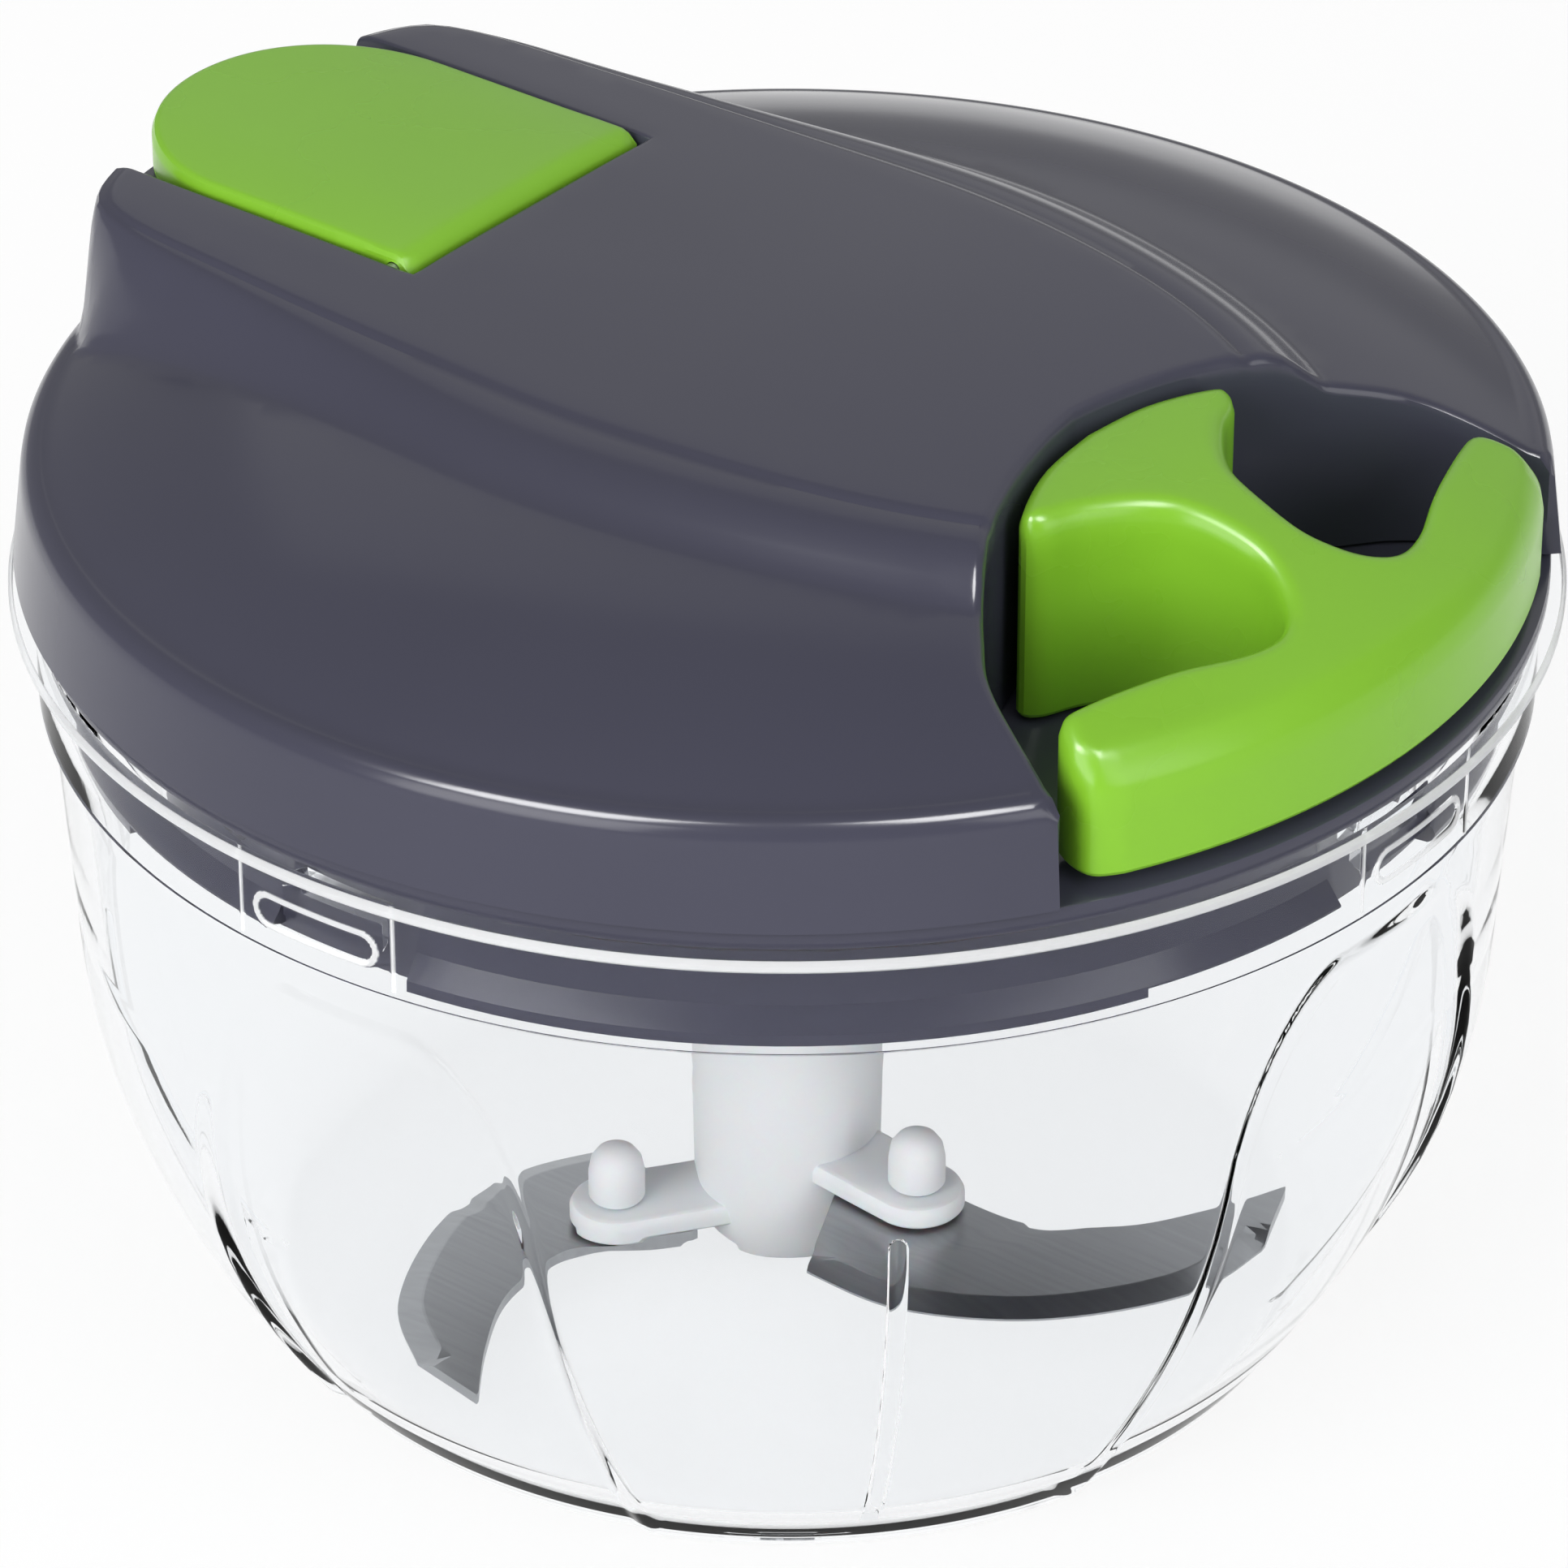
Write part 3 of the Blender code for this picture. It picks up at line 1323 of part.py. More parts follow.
def make_rotor_hub(milky):
    counterbore = BOSS_RADIUS + RUNNING_GAP
    counterbore_top = BOSS_HEIGHT + RUNNING_GAP
    bore = PIN_RADIUS + GAP
    profile = [
        (0.0, HUB_TOP),
        (HUB_TOP_RADIUS, HUB_TOP),
        (HUB_TOP_RADIUS - 0.0002, HUB_TOP - 0.0060),
        (HUB_WAIST_RADIUS, HUB_WAIST_HEIGHT),
        (HUB_FOOT_RADIUS, HUB_FOOT_HEIGHT),
        (HUB_FOOT_RADIUS, HUB_BOTTOM + 0.0014),
        (HUB_FOOT_RADIUS - HUB_CHAMFER, HUB_BOTTOM),
        (counterbore, HUB_BOTTOM),
        (counterbore, counterbore_top),
        (bore, counterbore_top),
        (bore, PIN_TOP + GAP),
        (0.0, PIN_TOP + GAP),
    ]
    hub = turned("rotor_hub", profile, milky, segments=32)
    arms = []
    holes = []
    for angle, top in zip(ARM_ANGLES, ARM_TOPS):
        arms.append(plate("arm", [arm_outline(angle)], top - ARM_THICKNESS, top))
        x, y = arm_place(angle, PEG_CIRCLE)
        holes.append(
            cylinder("peg_hole", PEG_SHANK_RADIUS + GAP, (x, y, top - 0.004), (x, y, top + 0.002), segments=12)
        )
    join(hub, group("rotor_arms", arms))
    cut(hub, group("peg_holes", holes))
    half = DOG_TAB_ANGLE / 2
    room = DOG_RADIUS + RUNNING_GAP
    body = DOG_HUB_RADIUS + RUNNING_GAP
    socket = []
    for k in range(2):
        turn = k * math.pi
        start = turn - half - DOG_SLACK
        end = turn + half + DOG_DRIVE_GAP
        socket += arc(room, start, end, 8)
        socket += arc(body, end, start + math.pi, 5)
    cut(hub, plate("dog_socket", [socket], DOG_SOCKET_FLOOR, HUB_TOP + CUT_MARGIN))
    shade(hub)
    return hub


def blade_outline(tip_radius):
    """A sickle in plan, its root under the arm and its tip swept to the left."""
    root = 0.0092
    half = ARM_WIDTH / 2 - 0.0006
    reach = tip_radius / BLADE_TIP_RADIUS
    outer = spline_through(
        [
            (0.0150 * reach, -0.0132 * reach),
            (0.0245 * reach, -0.0116 * reach),
            (0.0342 * reach, -0.0044 * reach),
            (0.0408 * reach, 0.0070 * reach),
            (0.0412 * reach, 0.0168 * reach),
        ],
        4,
    )
    inner = spline_through(
        [
            (0.0372 * reach, 0.0245 * reach),
            (0.0347 * reach, 0.0172 * reach),
            (0.0310 * reach, 0.0100 * reach),
            (0.0255 * reach, 0.0052 * reach),
            (0.0190, half),
            (root, half),
        ],
        4,
    )
    return [(root, -half)] + outer + inner


def make_blades(steel, milky):
    names = ("low", "middle", "high")
    tips = (LOW_BLADE_TIP_RADIUS, BLADE_TIP_RADIUS, BLADE_TIP_RADIUS)
    for name, angle, top, tip in zip(names, ARM_ANGLES, ARM_TOPS, tips):
        blade_top = top - ARM_THICKNESS - GAP
        outline = [arm_place(angle, x, y) for x, y in blade_outline(tip)]
        centre = arm_place(angle, PEG_CIRCLE)
        hole = arc(PEG_SHANK_RADIUS + GAP, 0.0, 2 * math.pi * 11 / 12, 11, centre)
        blade = plate("blade_" + name, [outline, hole], blade_top - BLADE_THICKNESS, blade_top, steel)
        shade(blade)
        foot = blade_top - BLADE_THICKNESS - GAP
        seat = top + GAP
        profile = [
            (0.0, seat + PEG_HEIGHT),
            (PEG_RADIUS * 0.5, seat + PEG_HEIGHT - 0.0003),
            (PEG_RADIUS * 0.9, seat + PEG_HEIGHT - 0.0013),
            (PEG_RADIUS, seat + PEG_HEIGHT - 0.0026),
            (PEG_RADIUS, seat),
            (PEG_SHANK_RADIUS, seat),
            (PEG_SHANK_RADIUS, foot),
            (PEG_SHANK_RADIUS + PEG_FOOT, foot),
            (PEG_SHANK_RADIUS + PEG_FOOT, foot - PEG_FOOT_HEIGHT),
            (0.0, foot - PEG_FOOT_HEIGHT),
        ]
        peg = turned("blade_peg_" + name, profile, milky, segments=12)
        peg.location = (*centre, 0.0)
        shade(peg)


def main():
    global collection, cutters
    clear_scene()
    collection = make_collection("Pull-string chopper")
    cutters = make_collection("Cutters")
    clear = make_material("Clear plastic", (0.90, 0.93, 0.95), 0.05, alpha=0.3)
    slate = make_material("Slate plastic", (0.085, 0.085, 0.108), 0.25)
    lime = make_material("Lime plastic", (0.226, 0.540, 0.030), 0.28)
    milky = make_material("Milky plastic", (0.85, 0.86, 0.87), 0.35)
    nylon = make_material("White nylon", (0.80, 0.80, 0.78), 0.45)
    silicone = make_material("Grey silicone", (0.50, 0.50, 0.52), 0.60)
    steel = make_material("Stainless steel", (0.45, 0.45, 0.46), 0.30, metallic=1.0)
    string = make_material("Braided cord", (0.82, 0.82, 0.78), 0.80)
    make_bowl(clear)
    make_bowl_pin(steel)
    make_rotor_hub(milky)
    make_blades(steel, milky)
    make_seal(silicone)
    make_lid_base(slate)
    make_cover(slate)
    make_filler_chute(slate)
    make_shaft_bush(nylon)
    make_cord_eyelet(nylon)
    make_spring_cap(slate)
    make_screws(steel)
    make_spool(nylon)
    make_drive_dog(nylon, steel)
    make_cord(string)
    make_rewind_spring(steel)
    make_pull_handle(lime)
    make_filler_flap(lime, silicone, steel)


main()
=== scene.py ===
"""Pull-string chopper: its clear bowl, slate lid, lime handle and flap, rotor and cord drive."""

import math

import bmesh
import bpy
import numpy as np
from mathutils import Matrix, Vector
from mathutils.geometry import delaunay_2d_cdt
from mathutils.kdtree import KDTree


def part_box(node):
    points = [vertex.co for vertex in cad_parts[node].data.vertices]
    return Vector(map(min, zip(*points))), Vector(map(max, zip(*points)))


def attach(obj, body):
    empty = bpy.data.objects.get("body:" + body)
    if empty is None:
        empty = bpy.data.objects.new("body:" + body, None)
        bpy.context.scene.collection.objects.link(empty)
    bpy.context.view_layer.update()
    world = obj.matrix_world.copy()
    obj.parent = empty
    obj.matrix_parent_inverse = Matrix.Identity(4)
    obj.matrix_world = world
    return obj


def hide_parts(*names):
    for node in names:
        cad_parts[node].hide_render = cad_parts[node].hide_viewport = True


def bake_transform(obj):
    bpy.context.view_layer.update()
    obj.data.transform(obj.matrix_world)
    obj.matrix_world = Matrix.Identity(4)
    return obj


bl_info = {
    "name": "Pull-string Chopper",
    "version": (1, 0, 0),
    "blender": (4, 5, 0),
    "location": "View3D > Sidebar > Chopper",
    "description": "Builds a hand chopper with a clear bowl, a bladed rotor and a pull-cord lid",
    "category": "Add Mesh",
}

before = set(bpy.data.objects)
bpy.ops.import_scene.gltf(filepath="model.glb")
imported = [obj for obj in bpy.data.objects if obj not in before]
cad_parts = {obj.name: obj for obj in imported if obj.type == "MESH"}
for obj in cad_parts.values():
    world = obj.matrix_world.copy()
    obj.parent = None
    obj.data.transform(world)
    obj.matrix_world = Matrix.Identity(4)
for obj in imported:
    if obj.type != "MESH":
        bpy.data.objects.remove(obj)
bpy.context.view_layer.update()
MM = 0.001
GAP = 0.3 * MM
TURN = 2 * math.pi
QUARTER = math.pi / 2
EIGHTH = math.pi / 4


def low(node):
    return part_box(node)[0]


def high(node):
    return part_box(node)[1]


# Sizes that the frame gives

BOWL_HEIGHT = high("bowl").z
RIM_RADIUS = high("bowl").x
COVER_BOTTOM = low("lid_cover").z
COVER_RADIUS = high("lid_cover").y
FLANGE_RADIUS = high("lid_base").y
PLATE_TOP = COVER_BOTTOM - GAP
PLATE_BOTTOM = BOWL_HEIGHT + GAP
HOUSING_TOP = high("lid_base").z
APRON_BOTTOM = low("lid_base").z
HANDLE_BACK = low("pull_handle").x
HANDLE_BOTTOM = low("pull_handle").z
HANDLE_TOP = high("pull_handle").z
BAR_OUTER_RADIUS = high("pull_handle").x
FLAP_TOP = high("filler_flap").z
FLAP_BOTTOM = low("filler_flap").z
FLAP_HALF_WIDTH = high("filler_flap").y
CORD_DIAMETER = high("cord_run").z - low("cord_run").z
CORD_EXIT = Vector((low("cord_run").x, 0.0, (low("cord_run").z + high("cord_run").z) / 2))
KNOT_CENTRE = (high("cord_knot") + low("cord_knot")) / 2
HUB_TOP = high("rotor_hub").z
HUB_BOTTOM = low("rotor_hub").z

# Sizes taken over from the model's design

BASE_RADIUS = 44.8 * MM
BASE_EDGE = 0.8 * MM
BOWL_WAIST_RADIUS = 61.2 * MM
BOWL_WAIST_HEIGHT = 40.0 * MM
BOWL_TOP_RADIUS = 62.6 * MM
BAND_BOTTOM = 60.9 * MM
BAND_RADIUS = 63.5 * MM
BAND_BORE = 61.0 * MM
RIM_THICKNESS = 1.1 * MM
SHOULDER_RADIUS = 64.1 * MM
SHOULDER_HEIGHT = 80.7 * MM
SHOULDER_ROUND = 2.1 * MM
DOME_TOP = 91.5 * MM
DOME_DROP = 8.7 * MM
DOME_POWER = 3.6
COVER_WALL = 1.8 * MM
RIDGE_TOP = 94.1 * MM
RIDGE_REAR_RISE = 0.6 * MM
RIDGE_FRONT_DROP = 1.1 * MM
RIDGE_CROWN = 0.8 * MM
RIDGE_REAR = 62.0 * MM
RIDGE_REAR_REACH = 57 * MM
RIDGE_FRONT_REACH = 33 * MM
RIDGE_EDGE_DROP = 0.4 * MM
FLANK_WIDTH = 9.0 * MM
FLANK_POWER = 1.35
POCKET_BACK = 29.6 * MM
POCKET_RIM_ANGLE = math.radians(32.6)
RECESS_FLOOR = 91.4 * MM
RECESS_GAP = 0.5 * MM
FLAP_HINGE = Vector((-29.9 * MM, 0.0, 93.8 * MM))
FLAP_BARREL_RADIUS = 2.1 * MM
FLAP_FRONT = FLAP_HINGE.x + FLAP_BARREL_RADIUS
PIN_BORE = 0.8 * MM
FLAP_TIP_CENTRE = -50.0 * MM
CHUTE_X = -46.0 * MM
CHUTE_BORE = 8.2 * MM
SKIRT_RADIUS = 59.0 * MM
SKIRT_WALL = 1.8 * MM
SKIRT_BOTTOM = 61.0 * MM
SCREW_CIRCLE = 50 * MM
SCREW_BORE = 1.5 * MM
SCREW_BOSS_RADIUS = 3.2 * MM
CAP_SCREW_BORE = 1.2 * MM
EYELET_BORE = 2.9 * MM
CORD_BORE = 1.1 * MM
WINDING_RADIUS = 13.0 * MM
ARM_ANGLES = tuple(math.radians(a) for a in (-126.0, -6.0, 114.0))
BLADES = ("low", "middle", "high")
PEG_CIRCLE = 15.6 * MM


# Settings


def hex_color(text):
    """An sRGB hex value as linear red, green and blue."""
    channels = [int(text[i : i + 2], 16) / 255 for i in (1, 3, 5)]
    return tuple(c / 12.92 if c <= 0.04045 else ((c + 0.055) / 1.055) ** 2.4 for c in channels)


def color_setting(name, description, text):
    limits = {"size": 3, "min": 0.0, "max": 1.0, "default": hex_color(text)}
    return bpy.props.FloatVectorProperty(name=name, description=description, subtype="COLOR", **limits)


def length_setting(name, description, default):
    return bpy.props.FloatProperty(name=name, description=description, unit="LENGTH", default=default)


def angle_setting(name, description, degrees):
    value = math.radians(degrees)
    return bpy.props.FloatProperty(name=name, description=description, subtype="ANGLE", default=value)


def plain_setting(name, description, default):
    return bpy.props.FloatProperty(name=name, description=description, default=default)


class ChopperLidSettings(bpy.types.PropertyGroup):
    slate: color_setting("Slate", "Colour of the lid's moulded plastic", "#444453")
    edge_round: length_setting("Pocket edge", "Rounding of the edge round the handle's pocket", 0.9 * MM)
    ridge_round: length_setting("Ridge edge", "Width of the turn from the ridge's top to its flank", 1.6 * MM)


class ChopperGripSettings(bpy.types.PropertyGroup):
    lime: color_setting("Lime", "Colour of the handle and the flap", "#87c530")
    edge_round: length_setting("Handle edge", "Rounding of the handle's top edges", 1.7 * MM)
    bar_round: length_setting("Bar edge", "Rounding of the bar's outer top edge", 3.0 * MM)


class ChopperBowlSettings(bpy.types.PropertyGroup):
    clear: color_setting("Clear", "Tint of the bowl's clear plastic", "#fbfcfd")
    wall: length_setting("Wall", "Thickness of the bowl's wall", 2.0 * MM)
    flute_depth: length_setting("Flute depth", "How far the wall is drawn in between its lobes", 0.8 * MM)
    loop_rise: length_setting("Mark height", "Height of the raised line round each long mark", 0.25 * MM)
    rib_height: length_setting("Rib height", "How far each lobe's bead stands out inside the bowl", 0.8 * MM)


class ChopperRotorSettings(bpy.types.PropertyGroup):
    milky: color_setting("Milky", "Colour of the rotor's translucent plastic", "#eaebed")
    grind: length_setting("Grind", "Width of the ground edge on each blade", 2.2 * MM)


class ChopperStageSettings(bpy.types.PropertyGroup):
    azimuth: angle_setting("Azimuth", "Turn of the camera about the chopper's axis", 37.85)
    elevation: angle_setting("Elevation", "Angle at which the camera looks down", 31.34)
    distance: length_setting("Distance", "Distance from the camera to the chopper", 0.7)
    lens: bpy.props.FloatProperty(name="Lens", description="Focal length", unit="CAMERA", default=187.08)
    key_power: plain_setting("Key light", "Power of the main soft light in watts", 14.0)
    fill_power: plain_setting("Fill light", "Power of the second soft light in watts", 6.0)
    window_power: plain_setting("Windows", "Power in watts of the windows seen in reflections", 22.0)
    world_strength: plain_setting("Studio light", "Strength of the even light from all round", 0.4)


# Meshes


def smoothstep(t):
    t = min(max(t, 0.0), 1.0)
    return t * t * (3.0 - 2.0 * t)


def polar(radius, angle):
    return radius * math.cos(angle), radius * math.sin(angle)


def scaled(points, factor=MM):
    return [(x * factor, y * factor) for x, y in points]


def arc(radius, start, end, steps, centre=(0.0, 0.0)):
    points = [polar(radius, start + (end - start) * i / steps) for i in range(steps + 1)]
    return [(centre[0] + x, centre[1] + y) for x, y in points]


def spline_through(points, steps):
    """A Catmull-Rom curve through points in plan."""
    padded = [points[0]] + list(points) + [points[-1]]
    curve = []
    for corners in zip(padded, padded[1:], padded[2:], padded[3:]):
        for i in range(steps):
            t = i / steps
            place = []
            for p, q, r, s in zip(*corners):
                cubic = (3 * q - p - 3 * r + s) * t**3
                place.append(0.5 * (2 * q + (r - p) * t + (2 * p - 5 * q + 4 * r - s) * t**2 + cubic))
            curve.append(tuple(place))
    return curve + [tuple(points[-1])]


def even_outline(points, step):
    """A closed outline's points spread evenly along it."""
    ring = np.array(list(points) + [points[0]])
    along = np.concatenate([[0.0], np.cumsum(np.linalg.norm(np.diff(ring, axis=0), axis=1))])
    count = max(int(round(along[-1] / step)), 8)
    at = np.linspace(0.0, along[-1], count, endpoint=False)
    return np.column_stack([np.interp(at, along, ring[:, k]) for k in (0, 1)])


def add_object(name, mesh, material=None):
    obj = bpy.data.objects.new(name, mesh)
    bpy.context.scene.collection.objects.link(obj)
    return dress(obj, material) if material else obj


def mesh_from(bm, name):
    bmesh.ops.recalc_face_normals(bm, faces=bm.faces)
    mesh = bpy.data.meshes.new(name)
    bm.to_mesh(mesh)
    bm.free()
    return mesh


def shade(obj, angle=30.0):
    obj.data.shade_smooth()
    obj.data.set_sharp_from_angle(angle=math.radians(angle))
    return obj


def dress(obj, material):
    obj.data.materials.clear()
    obj.data.materials.append(material)
    return obj


def loft(name, rings, closed=False, caps=False):
    """Faces through rings of equal point count. A one-point ring closes in a fan."""
    bm = bmesh.new()
    rows = [[bm.verts.new(point) for point in ring] for ring in rings]
    pairs = list(zip(rows, rows[1:]))
    if closed:
        pairs.append((rows[-1], rows[0]))
    for first, second in pairs:
        count = max(len(first), len(second))
        for i in range(count):
            j = (i + 1) % count
            if len(first) == 1:
                bm.faces.new((first[0], second[j], second[i]))
            elif len(second) == 1:
                bm.faces.new((first[i], first[j], second[0]))
            else:
                bm.faces.new((first[i], first[j], second[j], second[i]))
    if caps:
        bm.faces.new(rows[0])
        bm.faces.new(rows[-1])
    return add_object(name, mesh_from(bm, name))


def turned(name, profile, steps=96, closed=False):
    """A profile of (radius, height) turned about Z."""
    rings = []
    for radius, height in profile:
        if radius < 1e-7:
            rings.append([(0.0, 0.0, height)])
        else:
            rings.append([(*polar(radius, TURN * i / steps), height) for i in range(steps)])
    return shade(loft(name, rings, closed))


def rounded(profile, radius, steps=3):
    """A closed profile with each corner turned over a small radius."""
    points = []
    count = len(profile)
    for i in range(count):
        corner = Vector(profile[i])
        before = Vector(profile[i - 1]) - corner
        after = Vector(profile[(i + 1) % count]) - corner
        reach = min(radius, before.length * 0.45, after.length * 0.45)
        start = corner + before.normalized() * reach
        end = corner + after.normalized() * reach
        for k in range(steps + 1):
            t = k / steps
            points.append(tuple((1 - t) ** 2 * start + 2 * t * (1 - t) * corner + t**2 * end))
    return points


def line_distance(points, line):
    """Each point's distance to an open line."""
    best = np.full(len(points), np.inf)
    for start, end in zip(line, line[1:]):
        run = end - start
        share = np.clip(((points - start) @ run) / max(run @ run, 1e-18), 0.0, 1.0)
        best = np.minimum(best, np.linalg.norm(points - start - share[:, None] * run, axis=1))
    return best


def edge_distance(points, outline):
    """Each point's distance to a closed outline."""
    return line_distance(points, np.append(outline, outline[:1], axis=0))


def inside(points, outline):
    """Which points lie inside a closed outline."""
    within = np.zeros(len(points), bool)
    for (x1, y1), (x2, y2) in zip(outline, np.roll(outline, -1, axis=0)):
        crosses = (y1 > points[:, 1]) != (y2 > points[:, 1])
        reach = (x2 - x1) * (points[:, 1] - y1) / (y2 - y1 if y2 != y1 else 1e-18) + x1
        within ^= crosses & (points[:, 0] < reach)
    return within


def cylinder(name, radius, start, end, steps=32):
    start, end = Vector(start), Vector(end)
    bm = bmesh.new()
    depth = (end - start).length
    bmesh.ops.create_cone(bm, cap_ends=True, segments=steps, radius1=radius, radius2=radius, depth=depth)
    turn = (end - start).to_track_quat("Z", "Y").to_matrix().to_4x4()
    bmesh.ops.transform(bm, verts=bm.verts, matrix=Matrix.Translation((start + end) / 2) @ turn)
    return add_object(name, mesh_from(bm, name))


def upright(radius, place, bottom, top, steps=32):
    """A cylinder between two heights, for a hole or a boss."""
    return cylinder("upright", radius, (*place, bottom), (*place, top), steps)


def prism(name, outline, bottom, top):
    bm = bmesh.new()
    face = bm.faces.new([bm.verts.new((x, y, bottom)) for x, y in outline])
    grown = bmesh.ops.extrude_face_region(bm, geom=[face])["geom"]
    lifted = [v for v in grown if isinstance(v, bmesh.types.BMVert)]
    bmesh.ops.translate(bm, verts=lifted, vec=(0.0, 0.0, top - bottom))
    return add_object(name, mesh_from(bm, name))


def merged(pieces):
    """Separate closed pieces as one object."""
    bm = bmesh.new()
    for piece in pieces:
        bm.from_mesh(piece.data)
        bpy.data.objects.remove(piece)
    return add_object("merged", mesh_from(bm, "merged"))


def evaluated_mesh(obj):
    graph = bpy.context.evaluated_depsgraph_get()
    graph.update()
    return bpy.data.meshes.new_from_object(obj.evaluated_get(graph))


def combine(obj, *others, operation="DIFFERENCE"):
    """Applies Booleans with each of the others, which are then removed."""
    for other in others:
        modifier = obj.modifiers.new("Boolean", "BOOLEAN")
        modifier.operation = operation
        modifier.object = other
        modifier.solver = "EXACT"
    mesh = evaluated_mesh(obj)
    obj.modifiers.clear()
    old, obj.data = obj.data, mesh
    bpy.data.meshes.remove(old)
    for other in others:
        bpy.data.objects.remove(other)
    return obj


def finish_piece(obj, body, slot, *nodes):
    """Attaches a finished piece to its body and hides the CAD nodes that it stands for. Its slot is not used.
    """
    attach(obj, body)
    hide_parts(*nodes)


# Nodes


def connect(tree, node, inputs):
    """Sets a node's inputs, or links them to other nodes' outputs."""
    for key, value in inputs.items():
        if isinstance(value, bpy.types.NodeSocket):
            tree.links.new(value, node.inputs[key])
        else:
            node.inputs[key].default_value = value


def add_node(tree, kind, inputs=None, **settings):
    node = tree.nodes.new(kind)
    for key, value in settings.items():
        setattr(node, key, value)
    connect(tree, node, inputs or {})
    return node


def math_node(tree, operation, first, second, clamp=False):
    inputs = {0: first, 1: second}
    return add_node(tree, "ShaderNodeMath", inputs, operation=operation, use_clamp=clamp).outputs[0]


def map_range(tree, value, source=(0.0, 1.0), target=(0.0, 1.0)):
    """A value carried over from the source range to the target range."""
    ends = {"From Min": source[0], "From Max": source[1], "To Min": target[0], "To Max": target[1]}
    return add_node(tree, "ShaderNodeMapRange", {"Value": value, **ends}).outputs["Result"]


# Materials


def new_material(name, **sockets):
    """A Principled material whose plain sockets are set."""
    material = bpy.data.materials.new(name)
    material.use_nodes = True
    feed(material, {key.replace("_", " "): value for key, value in sockets.items()})
    return material


def feed(material, inputs):
    """Sets or links the inputs of a material's shader."""
    connect(material.node_tree, material.node_tree.nodes["Principled BSDF"], inputs)


def object_coordinates(material):
    return add_node(material.node_tree, "ShaderNodeTexCoord").outputs["Object"]


def noise(material, scale, detail, where=None):
    inputs = {"Vector": where or object_coordinates(material), "Scale": scale, "Detail": detail}
    return add_node(material.node_tree, "ShaderNodeTexNoise", inputs).outputs["Fac"]


def color_between(material, share, colors, places=(0.0, 1.0)):
    """The base colour runs from the first colour to the second as the share grows."""
    ramp = add_node(material.node_tree, "ShaderNodeValToRGB", {"Fac": share})
    for element, rgb, place in zip(ramp.color_ramp.elements, colors, places):
        element.position = place
        element.color = (*(min(c, 1.0) for c in rgb), 1.0)
    feed(material, {"Base Color": ramp.outputs["Color"]})


def bump(material, height, strength, distance):
    inputs = {"Strength": strength, "Distance": distance, "Height": height}
    feed(material, {"Normal": add_node(material.node_tree, "ShaderNodeBump", inputs).outputs["Normal"]})


def varied_color(material, rgb, scale, amount):
    """A base colour that drifts slightly over the piece."""
    colors = [[c * factor for c in rgb] for factor in (1 - amount, 1 + amount)]
    color_between(material, noise(material, scale, 3.0), colors, (0.3, 0.7))


def fine_bump(material, scale, distance, strength):
    bump(material, noise(material, scale, 2.0), strength, distance)


def moulded_abs(name, rgb, roughness):
    """ABS moulded in a polished tool: an even colour, a broad soft shine and a faint waviness."""
    material = new_material(name, IOR=1.52, Specular_IOR_Level=0.3)
    varied_color(material, rgb, 30.0, 0.03)
    patches = noise(material, 45.0, 4.0)
    ends = (roughness * 0.9, roughness * 1.15)
    feed(material, {"Roughness": map_range(material.node_tree, patches, (0.3, 0.7), ends)})
    fine_bump(material, 90.0, 0.01 * MM, 0.4)
    return material


def clear_san(name, tint):
    """SAN moulded clear, which bends little. The rim and the raised lines are made less clear and rough, a
    painted highlight that shows them white.
    """
    material = new_material(name, Base_Color=(*tint, 1.0), IOR=1.08)
    tree = material.node_tree
    where = object_coordinates(material)
    flat = add_node(tree, "ShaderNodeVectorMath", {0: where, 1: (1.0, 1.0, 0.0)}, operation="MULTIPLY")
    radius = add_node(tree, "ShaderNodeVectorMath", {0: flat.outputs["Vector"]}, operation="LENGTH")
    apart = add_node(tree, "ShaderNodeSeparateXYZ", {"Vector": where})
    rim_bottom = BOWL_HEIGHT - RIM_THICKNESS
    rim_reach = RIM_RADIUS - BAND_RADIUS - 0.45 * MM
    rim_zone = (rim_bottom - 0.2 * MM, rim_bottom - 0.1 * MM)
    on_rim = map_range(tree, apart.outputs["Z"], rim_zone, (0.0, rim_reach))
    raised_by = math_node(tree, "SUBTRACT", radius.outputs["Value"], on_rim)
    # Painted highlight: past the band's face the plastic turns less clear and rough, so the rim and the
    # raised lines show white.
    painted_highlight_radii = (BAND_RADIUS + 0.02 * MM, BAND_RADIUS + 0.12 * MM)
    for socket, wall, raised in (("Transmission Weight", 1.0, 0.3), ("Roughness", 0.02, 0.3)):
        feed(material, {socket: map_range(tree, raised_by, painted_highlight_radii, (wall, raised))})
    fine_bump(material, 60.0, 0.02 * MM, 0.4)
    return material


def milky_polypropylene(name, rgb):
    """Natural polypropylene: milky, with light scattered inside it."""
    material = new_material(name, IOR=1.49, Specular_IOR_Level=0.1, Roughness=0.45)
    feed(material, {"Subsurface Weight": 0.25, "Subsurface Scale": 2 * MM})
    varied_color(material, rgb, 60.0, 0.02)
    fine_bump(material, 200.0, 0.02 * MM, 0.5)
    return material


def brushed_stainless(name):
    """Rolled stainless strip: fine scratches one way, about 0.2 mm apart and drawn coarser to show."""
    material = new_material(name, Metallic=1.0, Roughness=0.32)
    stretched = {"Vector": object_coordinates(material), "Scale": (60.0, 1800.0, 900.0)}
    where = add_node(material.node_tree, "ShaderNodeMapping", stretched)
    scratches = noise(material, 1.0, 4.0, where.outputs["Vector"])
    steel = hex_color("#a3a5a8")
    color_between(material, scratches, [[c * factor for c in steel] for factor in (0.85, 1.12)])
    bump(material, scratches, 0.25, 0.03 * MM)
    return material


def moulded_nylon(name):
    """Natural nylon: off-white, with a dry low shine."""
    material = new_material(name, IOR=1.53, Roughness=0.45)
    varied_color(material, hex_color("#e9e8e2"), 80.0, 0.03)
    fine_bump(material, 400.0, 0.03 * MM, 0.5)
    return material


